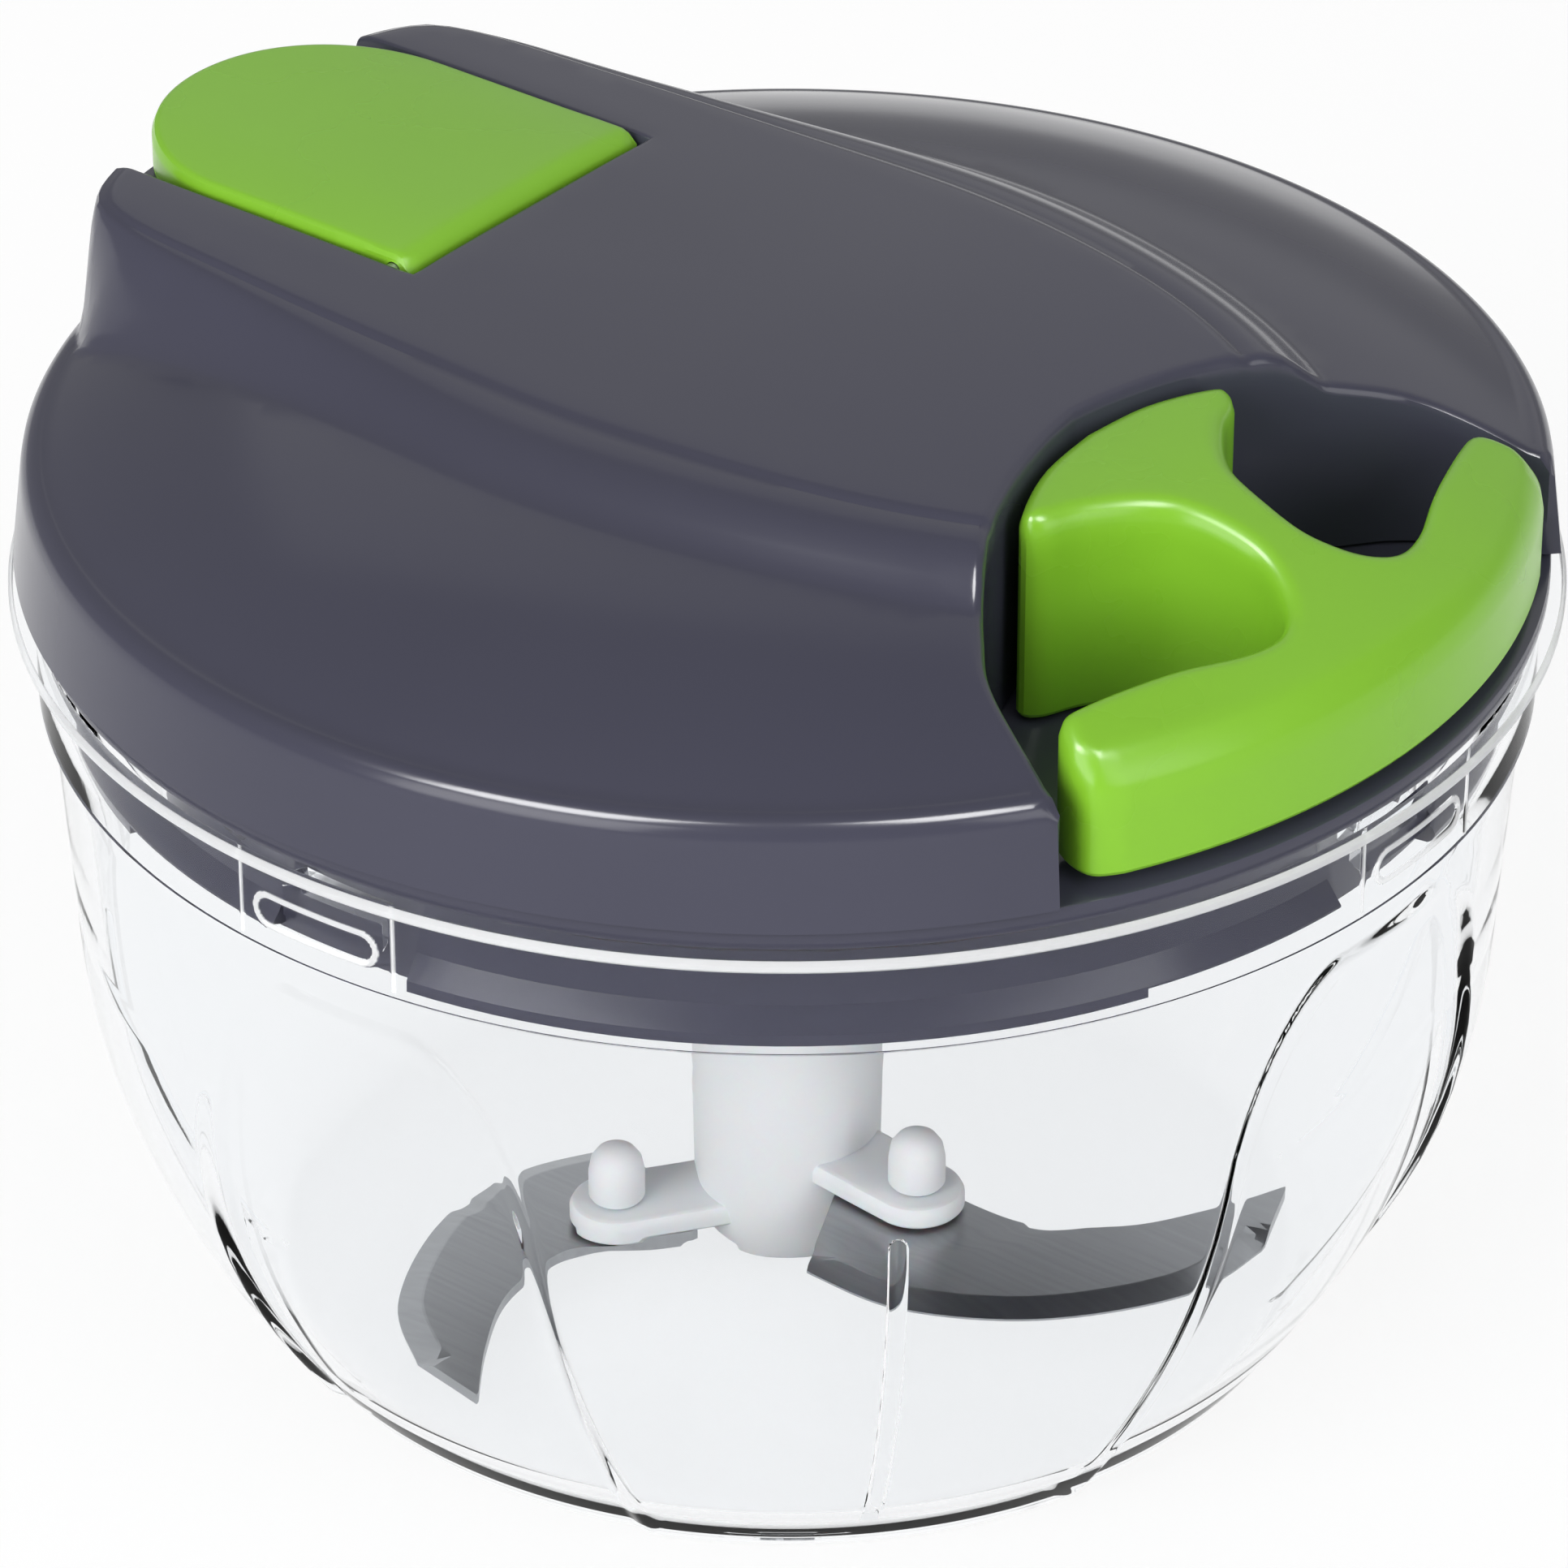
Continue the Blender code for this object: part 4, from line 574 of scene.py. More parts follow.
def soft_silicone(name, text):
    """Moulded silicone rubber: matt, slightly dusty."""
    material = new_material(name, IOR=1.42, Roughness=0.6, Subsurface_Weight=0.1, Subsurface_Scale=2 * MM)
    varied_color(material, hex_color(text), 120.0, 0.04)
    fine_bump(material, 700.0, 0.02 * MM, 0.6)
    return material


def braided_polyester(name):
    """Braided cord: strands cross about 0.7 mm apart round the cord."""
    material = new_material(name, Roughness=0.8, Sheen_Weight=0.3)
    inputs = {"Vector": object_coordinates(material), "Scale": 700.0, "Distortion": 1.5, "Detail": 1.0}
    settings = {"wave_type": "BANDS", "bands_direction": "DIAGONAL"}
    strands = add_node(material.node_tree, "ShaderNodeTexWave", inputs, **settings).outputs["Fac"]
    color_between(material, strands, (hex_color("#c9c7bd"), hex_color("#f0eee6")))
    bump(material, strands, 0.6, 0.1 * MM)
    return material


MATERIALS = {}
MAKERS = {
    "clear": lambda scene: clear_san("Clear SAN", scene.chopper_bowl.clear),
    "slate": lambda scene: moulded_abs("Slate ABS", scene.chopper_lid.slate, 0.17),
    "lime": lambda scene: moulded_abs("Lime ABS", scene.chopper_grip.lime, 0.27),
    "milky": lambda scene: milky_polypropylene("Milky polypropylene", scene.chopper_rotor.milky),
    "steel": lambda scene: brushed_stainless("Stainless steel"),
    "nylon": lambda scene: moulded_nylon("Natural nylon"),
    "seal": lambda scene: soft_silicone("Dark silicone", "#4a4b54"),
    "silicone": lambda scene: soft_silicone("Grey silicone", "#c9cacc"),
    "cord": lambda scene: braided_polyester("Braided polyester"),
}


def finish(kind):
    """Each material is made once, when the first piece asks for it."""
    if kind not in MATERIALS:
        MATERIALS[kind] = MAKERS[kind](bpy.context.scene)
    return MATERIALS[kind]


# Bowl

MARKS_TURN = math.radians(1.5)
FLUTE_TOP = 55.4 * MM
FLUTE_CORNER_WIDTH = 9.0 * MM
FLUTE_CORNER_HEIGHT = 18.0 * MM
FLUTE_EDGE = 1.9 * MM
FLUTE_HALF_ANGLE_BASE = math.radians(21.0)
FLUTE_HALF_ANGLE_TOP = math.radians(13.7)
FLOOR = 2.6 * MM
BOSS_RADIUS = 4.2 * MM
BOSS_HEIGHT = 6.0 * MM
PIN_RADIUS = 2.0 * MM
PIN_SOCKET_BOTTOM = 1.1 * MM
RIB_TOP = 39.5 * MM
RIB_HALF_WIDTH = 0.8 * MM
WINDOW_HALF_ANGLE = math.radians(7.0)
WINDOW_LINE = 0.22 * MM
LOOP_HALF_LENGTH = 6.1 * MM
LOOP_HALF_HEIGHT = 1.4 * MM
LOOP_MIDDLE = 65.0 * MM
LOOP_WIDTH = 0.3 * MM
BAR_HALF_ANGLE = math.radians(4.8)
BAR_BOTTOM = 63.4 * MM
BAR_TOP = 66.2 * MM
BAR_REACH = 1.6 * MM
SOFT_EDGE = 0.3 * MM

# Millimetres beside the flute's crease and the bead's middle where columns stand close together
CREASE_COLUMNS = (-2.2, -2.0, -1.8, -1.6, -1.4, -1.2, -1.0, -0.8, -0.62, -0.46, -0.3, -0.15, 0.0)
CREASE_COLUMNS += (0.15, 0.3, 0.46, 0.62, 0.8, 1.0, 1.3, 1.8)
BEAD_COLUMNS = (-1.0, -0.85, -0.76, -0.66, -0.54, -0.4, -0.2)

# Heights of the wall's rings in millimetres, close together at the flute's top
WALL_RINGS = (0.8, 1.4, 2.2, 3.4, 5, 7, 9.5, 12.5, 16, 20, 24, 28, 32, 36, 38.5, 39.4, 39.8, 40.1, 40.4, 43)
WALL_RINGS += (46, 48.5, 50, 51.2, 52.2, 53, 53.6, 54.1, 54.5, 54.8, 55.1, 55.4, 55.7, 56.0, 56.4, 58.0)


def bowl_wall_radius(z):
    """The outer wall without its flutes: a round belly under a nearly straight top."""
    if z >= BOWL_WAIST_HEIGHT:
        t = (z - BOWL_WAIST_HEIGHT) / (BAND_BOTTOM - BOWL_WAIST_HEIGHT)
        return BOWL_WAIST_RADIUS + (BOWL_TOP_RADIUS - BOWL_WAIST_RADIUS) * t
    t = 1.0 - z / BOWL_WAIST_HEIGHT
    return BOWL_WAIST_RADIUS - (BOWL_WAIST_RADIUS - BASE_RADIUS - BASE_EDGE) * t**1.9


def flute_half_angle(z):
    share = min(max(z, 0.0), FLUTE_TOP) / FLUTE_TOP
    return FLUTE_HALF_ANGLE_BASE + (FLUTE_HALF_ANGLE_TOP - FLUTE_HALF_ANGLE_BASE) * share


def flute(z, off, radius, depth):
    """How far the wall is drawn in, inside a panel with a soft top and wide round corners."""
    side = (flute_half_angle(z) - off) * radius / FLUTE_CORNER_WIDTH
    over = (FLUTE_TOP - z) / FLUTE_CORNER_HEIGHT
    within = 1.0 - math.hypot(1.0 - side, 1.0 - over) if side < 1.0 and over < 1.0 else min(side, over)
    return depth * smoothstep(within * FLUTE_CORNER_WIDTH / FLUTE_EDGE + 0.5)


def half_round(away):
    """The height of a half-round line of height 1, away from its middle."""
    return math.sqrt(1.0 - away**2) if away < 1.0 else 0.0


def bead(z, off, radius, height):
    """A half-round bead up the middle of each lobe, inside the wall, with a round top."""
    return height * half_round(math.hypot((EIGHTH - off) * radius, max(z - RIB_TOP, 0.0)) / RIB_HALF_WIDTH)


def loop_line(z, off):
    """The raised line round each window's long mark, a ring with straight sides."""
    along = max(off * BAND_RADIUS - (LOOP_HALF_LENGTH - LOOP_HALF_HEIGHT), 0.0)
    return half_round(abs(math.hypot(along, z - LOOP_MIDDLE) - LOOP_HALF_HEIGHT) / LOOP_WIDTH)


def bayonet_bar(z, off, radius):
    """The bar inside the band that holds the lid down, with soft edges."""
    within = min((BAR_HALF_ANGLE - off) * BAND_BORE, z - BAR_BOTTOM, BAR_TOP - z)
    return BAR_REACH * smoothstep(within / (0.5 * MM))


def bowl_columns(z, radius):
    """Each column's turn from the nearest panel's middle. They crowd at the crease and the bead."""
    below_band = smoothstep((BAND_BOTTOM - z) / MM)
    crease = WINDOW_HALF_ANGLE + (flute_half_angle(z) - WINDOW_HALF_ANGLE) * below_band
    scale = MM / radius
    first = crease + CREASE_COLUMNS[0] * scale
    last = crease + CREASE_COLUMNS[-1] * scale
    end = EIGHTH + BEAD_COLUMNS[0] * scale
    turns = [first * i / 24 for i in range(24)]
    turns += [crease + step * scale for step in CREASE_COLUMNS]
    turns += [last + (end - last) * i / 22 for i in range(1, 22)]
    return turns + [EIGHTH + step * scale for step in BEAD_COLUMNS]


def bowl_ring(z, radius, change=None):
    """One ring of the bowl, its four quarters alike."""
    turns = bowl_columns(z, max(radius, 40 * MM))
    places = [(turn, turn) for turn in turns] + [(EIGHTH, EIGHTH)]
    places += [(2 * EIGHTH - turn, turn) for turn in reversed(turns[1:])]
    ring = []
    for k in range(4):
        for around, off in places:
            drawn = change(z, off, radius) if change else 0.0
            ring.append((*polar(radius - drawn, MARKS_TURN + k * QUARTER + around), z))
    return ring


def build_bowl(settings):
    def fluted(z, off, radius):
        return flute(z, off, radius, settings.flute_depth)

    def ribbed(z, off, radius):
        return fluted(z, off, radius) + bead(z, off, radius, settings.rib_height)

    def window(z, off, radius):
        line = half_round(abs(off - WINDOW_HALF_ANGLE) * radius / WINDOW_LINE) * (z > BAND_BOTTOM + 0.8 * MM)
        return -settings.loop_rise * max(loop_line(z, off), line * 0.5)

    wall = [(z * MM, bowl_wall_radius(z * MM), fluted) for z in WALL_RINGS]
    band = [BAND_BOTTOM + h * MM for h in (0.3, 0.8, 0.9, 1.0, 1.1, 1.2)]
    band += [62.15 * MM + 5.7 * MM * i / 36 for i in range(37)] + [68.4 * MM]
    rim_bottom = BOWL_HEIGHT - RIM_THICKNESS
    foot = bowl_wall_radius(FLOOR) - settings.wall
    bore = PIN_RADIUS + GAP
    plan = [(0.0, BASE_RADIUS - 6 * MM, fluted), (0.0, BASE_RADIUS, fluted)] + wall
    plan += [
        (BAND_BOTTOM - 0.5 * MM, BOWL_TOP_RADIUS),
        (BAND_BOTTOM - 0.1 * MM, BOWL_TOP_RADIUS + 0.1 * MM),
        (BAND_BOTTOM, BAND_RADIUS - SOFT_EDGE),
    ]
    plan += [(z, BAND_RADIUS, window) for z in band]
    plan += [
        (rim_bottom - SOFT_EDGE, BAND_RADIUS, window),
        (rim_bottom, BAND_RADIUS + 0.2 * MM),
        (rim_bottom, RIM_RADIUS - SOFT_EDGE),
        (rim_bottom + SOFT_EDGE, RIM_RADIUS),
        (BOWL_HEIGHT - SOFT_EDGE, RIM_RADIUS),
        (BOWL_HEIGHT, RIM_RADIUS - SOFT_EDGE),
        (BOWL_HEIGHT, BAND_BORE + SOFT_EDGE),
        (BOWL_HEIGHT - SOFT_EDGE, BAND_BORE),
    ]
    edges = (0.0, 0.17 * MM, 0.34 * MM, 0.5 * MM)
    bar_rows = [BAR_TOP - edge for edge in edges] + [BAR_BOTTOM + edge for edge in reversed(edges)]
    plan += [(z, BAND_BORE, bayonet_bar) for z in bar_rows]
    plan.append((BAND_BOTTOM + 0.4 * MM, BAND_BORE))
    plan += [(z, radius - settings.wall, ribbed) for z, radius, _ in reversed(wall) if z > 4 * MM]
    plan += [
        (FLOOR + 1.2 * MM, foot + 0.1 * MM, ribbed),
        (FLOOR + 0.35 * MM, foot - 0.5 * MM, fluted),
        (FLOOR, foot - 1.4 * MM, fluted),
        (FLOOR, foot - 7.0 * MM),
        (FLOOR, BOSS_RADIUS + 0.6 * MM),
        (FLOOR + 0.6 * MM, BOSS_RADIUS),
        (BOSS_HEIGHT - 0.2 * MM, BOSS_RADIUS - 0.2 * MM),
        (BOSS_HEIGHT, BOSS_RADIUS - 0.4 * MM),
        (BOSS_HEIGHT, bore),
        (PIN_SOCKET_BOTTOM, bore),
    ]
    rings = [[(0.0, 0.0, 0.0)]] + [bowl_ring(*row) for row in plan] + [[(0.0, 0.0, PIN_SOCKET_BOTTOM)]]
    bowl = dress(shade(loft("Bowl", rings), 40.0), finish("clear"))
    finish_piece(bowl, "bowl", "clear_plastic", "bowl")


# Pieces between two height fields


def quarter_round(distance, radius):
    """How far a rounded edge lies below its face, for an array of distances from the edge."""
    near = np.clip(radius - distance, 0.0, radius)
    return radius - np.sqrt(radius**2 - near**2)


def thinned(points, others, reach):
    """The points that keep a distance from the others."""
    tree = KDTree(len(others))
    for index, (x, y) in enumerate(others):
        tree.insert((x, y, 0.0), index)
    tree.balance()
    return np.array([p for p in points if tree.find((p[0], p[1], 0.0))[2] > reach])


def height_mesh(name, outline, lines, spacing, top, bottom, wall_rows=6):
    """A closed piece between two height fields over an outline, with rows of points along the lines."""
    outline = np.asarray(outline)
    count = len(outline)
    points = [outline]
    edges = [(i, (i + 1) % count) for i in range(count)]
    total = count
    for line in lines:
        keep = inside(line, outline) & (edge_distance(line, outline) > 0.12 * MM)
        index = np.cumsum(keep) - 1 + total
        links = [i for i in range(len(line) - 1) if keep[i] and keep[i + 1]]
        edges += [(int(index[i]), int(index[i + 1])) for i in links]
        points.append(line[keep])
        total += int(keep.sum())
    rows = np.concatenate(points)
    lowest, highest = outline.min(axis=0), outline.max(axis=0)
    grid = []
    for k, y in enumerate(np.arange(lowest[1], highest[1], spacing * 0.866)):
        grid += [(x + (k % 2) * spacing / 2, y) for x in np.arange(lowest[0], highest[0], spacing)]
    grid = np.array(grid)
    grid = thinned(grid[inside(grid, outline)], rows, spacing * 0.55)
    points = [Vector(p) for p in np.concatenate([rows, grid])]
    places, _, faces, origins, _, _ = delaunay_2d_cdt(points, edges, [], 1, 1e-7)
    flat = np.array([tuple(p) for p in places])
    distance = edge_distance(flat, outline)
    rim = {source: index for index, sources in enumerate(origins) for source in sources if source < count}
    distance[list(rim.values())] = 0.0
    bm = bmesh.new()
    tops = [bm.verts.new((x, y, z)) for (x, y), z in zip(flat, top(flat, distance))]
    bottoms = [bm.verts.new((x, y, z)) for (x, y), z in zip(flat, bottom(flat, distance))]
    for face in faces:
        bm.faces.new([tops[i] for i in face])
        bm.faces.new([bottoms[i] for i in reversed(face)])
    wall = [[tops[rim[i]] for i in range(count)]]
    for k in range(1, wall_rows):
        share = k / wall_rows
        wall.append([bm.verts.new(a.co.lerp(bottoms[rim[i]].co, share)) for i, a in enumerate(wall[0])])
    wall.append([bottoms[rim[i]] for i in range(count)])
    for first, second in zip(wall, wall[1:]):
        for i in range(count):
            j = (i + 1) % count
            bm.faces.new((first[j], first[i], second[i], second[j]))
    return add_object(name, mesh_from(bm, name))


def inset_rows(outline, insets):
    """Copies of a closed outline drawn in by millimetres, without the points that would cross over."""
    outline = np.asarray(outline)
    ahead = np.roll(outline, -1, axis=0) - np.roll(outline, 1, axis=0)
    ahead /= np.linalg.norm(ahead, axis=1)[:, None]
    inward = np.column_stack([-ahead[:, 1], ahead[:, 0]])
    area = np.sum(outline[:, 0] * np.roll(outline[:, 1], -1) - np.roll(outline[:, 0], -1) * outline[:, 1])
    if area < 0:
        inward = -inward
    rows = []
    for inset in insets:
        ring = outline + inward * (inset * MM)
        keep = inside(ring, outline) & (edge_distance(ring, outline) > inset * MM * 0.96)
        start = 0
        closed = np.append(ring, ring[:1], axis=0)
        kept = np.append(keep, keep[0])
        for i in range(len(closed) + 1):
            if i == len(closed) or not kept[i]:
                if i - start > 1:
                    rows.append(closed[start:i])
                start = i + 1
    return rows


# Cover


def ridge_outline():
    """Half of the ridge's plan, from its front round the side to its rear."""
    rear = RIDGE_REAR / MM
    points = [(48.0, 0.0), (44.0, 10.0), (33.0, 18.3), (19.0, 23.5), (0.0, 26.2), (-20.0, 25.7)]
    points += [(-40.0, 24.4), (-53.0, 23.1), (-rear * 0.940, 20.0), (-rear * 0.985, 11.0), (-rear, 0.0)]
    return scaled(spline_through(points, 12))


RIDGE_POINTS = ridge_outline()
RIDGE_EDGE_ANGLES = [math.atan2(y, x) for x, y in RIDGE_POINTS]
RIDGE_EDGE_RADII = [math.hypot(x, y) for x, y in RIDGE_POINTS]


def ridge_edge_radius(around):
    return np.interp(np.abs(around), RIDGE_EDGE_ANGLES, RIDGE_EDGE_RADII)


def ridge_foot_radius(around):
    edge = ridge_edge_radius(around)
    return edge + np.minimum(FLANK_WIDTH, 0.8 * (SHOULDER_RADIUS - 0.2 * MM - edge))


def dome_height(radius):
    inner = DOME_TOP - DOME_DROP * np.minimum(radius / RIDGE_REAR, 1.0) ** DOME_POWER
    t = np.clip((radius - RIDGE_REAR) / SHOULDER_ROUND, 0.0, 1.0)
    outer = SHOULDER_HEIGHT + SHOULDER_ROUND * np.sqrt(1.0 - t * t)
    return np.where(radius <= RIDGE_REAR, inner, outer)


def cover_height(x, y, edge_round):
    """The cover's skin: a dome with a raised ridge whose flanks run down in an S."""
    radius = np.hypot(x, y)
    around = np.arctan2(y, x)
    edge = ridge_edge_radius(around)
    on_ridge = np.minimum(radius, edge)
    along = on_ridge * np.cos(around)
    slope = np.where(along < 0, RIDGE_REAR_RISE, -RIDGE_FRONT_DROP)
    ends = np.where(along < 0, along / RIDGE_REAR_REACH, along / RIDGE_FRONT_REACH) ** 2
    top = RIDGE_TOP + slope * ends + RIDGE_CROWN * (1.0 - (on_ridge / edge) ** 2)
    across = np.clip((radius - edge) / (ridge_foot_radius(around) - edge), 0.0, 1.0) ** FLANK_POWER
    share = 1.0 - across * across * (3.0 - 2.0 * across)
    fall = RIDGE_EDGE_DROP * (1.0 - np.clip((edge - radius) / edge_round, 0.0, 1.0)) ** 2
    low_skin = dome_height(radius)
    return np.where(radius <= edge, top - fall, low_skin + (top - RIDGE_EDGE_DROP - low_skin) * share)


def pocket_outline():
    """Plan of the handle's pocket: an arc behind the handle's block and flared sides to the rim."""
    back = POCKET_BACK
    points = [(back, 0.0), (back + 0.6 * MM, 4.5 * MM), (back + 2.4 * MM, 11.8 * MM)]
    points += [(back + 5.5 * MM, 19.3 * MM), (39.2 * MM, 25.2 * MM), (44.0 * MM, 30.0 * MM)]
    side = spline_through(points + [polar(COVER_RADIUS, POCKET_RIM_ANGLE)], 12)
    return [(x, -y) for x, y in reversed(side[1:])] + side


def cover_outline():
    """Plan of the cover at its shoulder: a disc without the handle's pocket."""
    pocket = np.array(pocket_outline())
    pocket = pocket[np.hypot(pocket[:, 0], pocket[:, 1]) < SHOULDER_RADIUS - 0.2 * MM]
    start = math.atan2(pocket[-1][1], pocket[-1][0]) + math.radians(0.3)
    rim = arc(SHOULDER_RADIUS, start, TURN - start, 360)
    return pocket, np.concatenate([pocket, rim])


def recess_distance(x, y):
    """Distance outside the flap's recess. It is negative inside it."""
    past = x - (FLAP_FRONT + RECESS_GAP)
    beside = np.abs(y) - (FLAP_HALF_WIDTH + RECESS_GAP)
    outside = np.hypot(np.maximum(past, 0.0), np.maximum(beside, 0.0))
    return outside + np.minimum(np.maximum(past, beside), 0.0)


def screw_places():
    return [polar(SCREW_CIRCLE, EIGHTH + QUARTER * k) for k in range(4)]


def ridge_rows(edge_round):
    """Rows along the ridge's edge and down its flanks."""
    around = np.linspace(-math.pi, math.pi, 260)
    edge = ridge_edge_radius(around)
    width = ridge_foot_radius(around) - edge
    radii = [edge - edge_round * share for share in (1.0, 0.66, 0.33, 0.0)]
    radii += [edge + width * share for share in (0.08, 0.18, 0.3, 0.42, 0.55, 0.68, 0.8, 0.92, 1.0)]
    return [np.column_stack([radius * np.cos(around), radius * np.sin(around)]) for radius in radii]


def recess_rows():
    """Rows along the recess for the flap, close together at its wall."""
    front = FLAP_FRONT + RECESS_GAP
    side = np.linspace(-COVER_RADIUS, front, 60)
    rows = []
    for grow in (-0.06 * MM, 0.0, 0.15 * MM, 0.35 * MM, 0.6 * MM):
        half = FLAP_HALF_WIDTH + RECESS_GAP + grow
        across = np.column_stack([np.full(30, front + grow), np.linspace(-half, half, 30)])
        right = np.column_stack([side, np.full(60, -half)])[:-1]
        left = np.column_stack([side[::-1], np.full(60, half)])[1:]
        rows.append(np.concatenate([right, across, left]))
    return rows


def build_cover(settings):
    pocket, outline = cover_outline()
    recess_round = 0.5 * MM
    boss = SCREW_BOSS_RADIUS

    def top(flat, distance):
        x, y = flat[:, 0], flat[:, 1]
        height = cover_height(x, y, settings.ridge_round)
        past = recess_distance(x, y)
        height = height - quarter_round(np.maximum(past, 0.0), recess_round) * (past < recess_round)
        share = np.clip(past / (0.05 * MM) + 1.0, 0.0, 1.0)
        floor = np.minimum(RECESS_FLOOR, height)
        pocket_fall = quarter_round(line_distance(flat, pocket), settings.edge_round)
        return floor + (height - floor) * share - pocket_fall

    def bottom(flat, distance):
        x, y = flat[:, 0], flat[:, 1]
        height = cover_height(x, y, settings.ridge_round)
        height = np.where(recess_distance(x, y) < COVER_WALL, np.minimum(height, RECESS_FLOOR), height)
        share = np.clip((distance - COVER_WALL) / (0.25 * MM), 0.0, 1.0)
        for place in screw_places():
            share *= np.clip((np.hypot(x - place[0], y - place[1]) - boss) / (0.3 * MM), 0.0, 1.0)
        return COVER_BOTTOM + (height - COVER_WALL - COVER_BOTTOM) * share

    lines = inset_rows(outline, (0.18, 0.4, 0.65, 0.9, 1.3, 1.8, 2.06, 3.0))
    lines += recess_rows() + ridge_rows(settings.ridge_round)
    for place in screw_places():
        lines += [np.array(arc(radius, 0.0, TURN, 24, place)) for radius in (boss, boss + 0.3 * MM)]
    cover = height_mesh("Lid_cover", outline, lines, 1.7 * MM, top, bottom, 8)
    flare = COVER_RADIUS / SHOULDER_RADIUS - 1.0
    for vertex in cover.data.vertices:
        share = min(max((SHOULDER_HEIGHT - vertex.co.z) / (SHOULDER_HEIGHT - COVER_BOTTOM), 0.0), 1.0)
        if math.hypot(vertex.co.x, vertex.co.y) > SHOULDER_RADIUS - 0.01 * MM:
            vertex.co.x *= 1.0 + flare * share
            vertex.co.y *= 1.0 + flare * share
    ends = (COVER_BOTTOM - 2 * MM, COVER_BOTTOM + 8 * MM)
    holes = [upright(SCREW_BORE, place, *ends, 16) for place in screw_places()]
    holes.append(upright(CHUTE_BORE, (CHUTE_X, 0), RECESS_FLOOR - 4 * MM, 0.1, 64))
    ends = [(POCKET_BACK + past, 0, CORD_EXIT.z) for past in (-COVER_WALL - 2 * MM, 2 * MM)]
    holes.append(cylinder("eyelet_hole", EYELET_BORE, *ends))
    reach = FLAP_HALF_WIDTH + RECESS_GAP + COVER_WALL * 0.7
    x, _, z = FLAP_HINGE
    holes.append(cylinder("pin_hole", PIN_BORE, (x, -reach, z), (x, reach, z), 24))
    combine(cover, merged(holes))
    finish_piece(dress(shade(cover, 28.0), finish("slate")), "lid", "slate_plastic", "lid_cover")


# Lid base

LUG_START = math.radians(8.0)
APRON_END = math.radians(66.0)
REST_END = math.radians(85.0)
LUG_HEIGHT = 2.5 * MM
HOUSING_BORE = 16.0 * MM
HOUSING_RADIUS = 17.6 * MM
CAP_BOSS_RADIUS = 2.4 * MM
CAP_BOSS_CIRCLE = 19.6 * MM
BUSH_HOLE = 6.0 * MM


def sector(profile, start, end, steps=24):
    """Part of a turned ring, closed at both ends."""
    turns = [start + (end - start) * i / steps for i in range(steps + 1)]
    rings = [[(*polar(radius, turn), z) for radius, z in profile] for turn in turns]
    return loft("sector", rings, caps=True)


def build_base():
    skirt_bore = SKIRT_RADIUS - SKIRT_WALL
    profile = [
        (FLANGE_RADIUS, PLATE_TOP),
        (FLANGE_RADIUS, PLATE_BOTTOM),
        (SKIRT_RADIUS, PLATE_BOTTOM),
        (SKIRT_RADIUS, APRON_BOTTOM),
        (skirt_bore, APRON_BOTTOM),
        (skirt_bore, PLATE_BOTTOM),
        (BUSH_HOLE, PLATE_BOTTOM),
        (BUSH_HOLE, PLATE_TOP),
        (HOUSING_BORE, PLATE_TOP),
        (HOUSING_BORE, HOUSING_TOP),
        (HOUSING_RADIUS, HOUSING_TOP),
        (HOUSING_RADIUS, PLATE_TOP),
    ]
    base = turned("Lid_base", rounded(profile, 0.35 * MM, 2), 192, closed=True)
    inner, reach = SKIRT_RADIUS - 0.9 * MM, BAND_BORE - 0.5 * MM
    lug_top = APRON_BOTTOM + LUG_HEIGHT
    slope_top = lug_top + 0.5 * MM
    slope = [(reach, lug_top - 1.5 * MM), (SKIRT_RADIUS - 0.1 * MM, slope_top), (inner, slope_top)]
    apron = [(inner, APRON_BOTTOM), (reach, APRON_BOTTOM)] + slope
    rest = [(inner, SKIRT_BOTTOM), (reach, SKIRT_BOTTOM)] + slope
    turns = [k * QUARTER for k in range(4)]
    boss_places = [polar(CAP_BOSS_CIRCLE, math.radians(60.0 + 120.0 * k)) for k in range(3)]
    aprons = [sector(apron, LUG_START + turn, APRON_END + turn) for turn in turns]
    rests = [sector(rest, APRON_END + turn, REST_END + turn, 10) for turn in turns]
    bosses = [upright(CAP_BOSS_RADIUS, place, PLATE_BOTTOM + 0.5 * MM, HOUSING_TOP) for place in boss_places]
    for group in (aprons, rests, bosses):
        combine(base, merged(group), operation="UNION")
    through = (65 * MM, 80 * MM)
    holes = [upright(SCREW_BORE, place, *through, 24) for place in screw_places()]
    screw_top = low("spring_cap_screw_1").z - 0.5 * MM
    holes += [upright(CAP_SCREW_BORE, place, screw_top, HOUSING_TOP + MM, 16) for place in boss_places]
    holes.append(upright(high("filler_chute").y - 1.5 * MM, (CHUTE_X, 0), *through, 64))
    combine(base, merged(holes))
    slot = scaled([(8, -12.5), (20, -12.5), (20, -2), (8, -2)])
    combine(base, prism("slot", slot, PLATE_TOP + 2 * MM, CORD_EXIT.z + 2 * MM))
    finish_piece(dress(shade(base), finish("slate")), "lid", "slate_plastic", "lid_base")


# Handle and flap


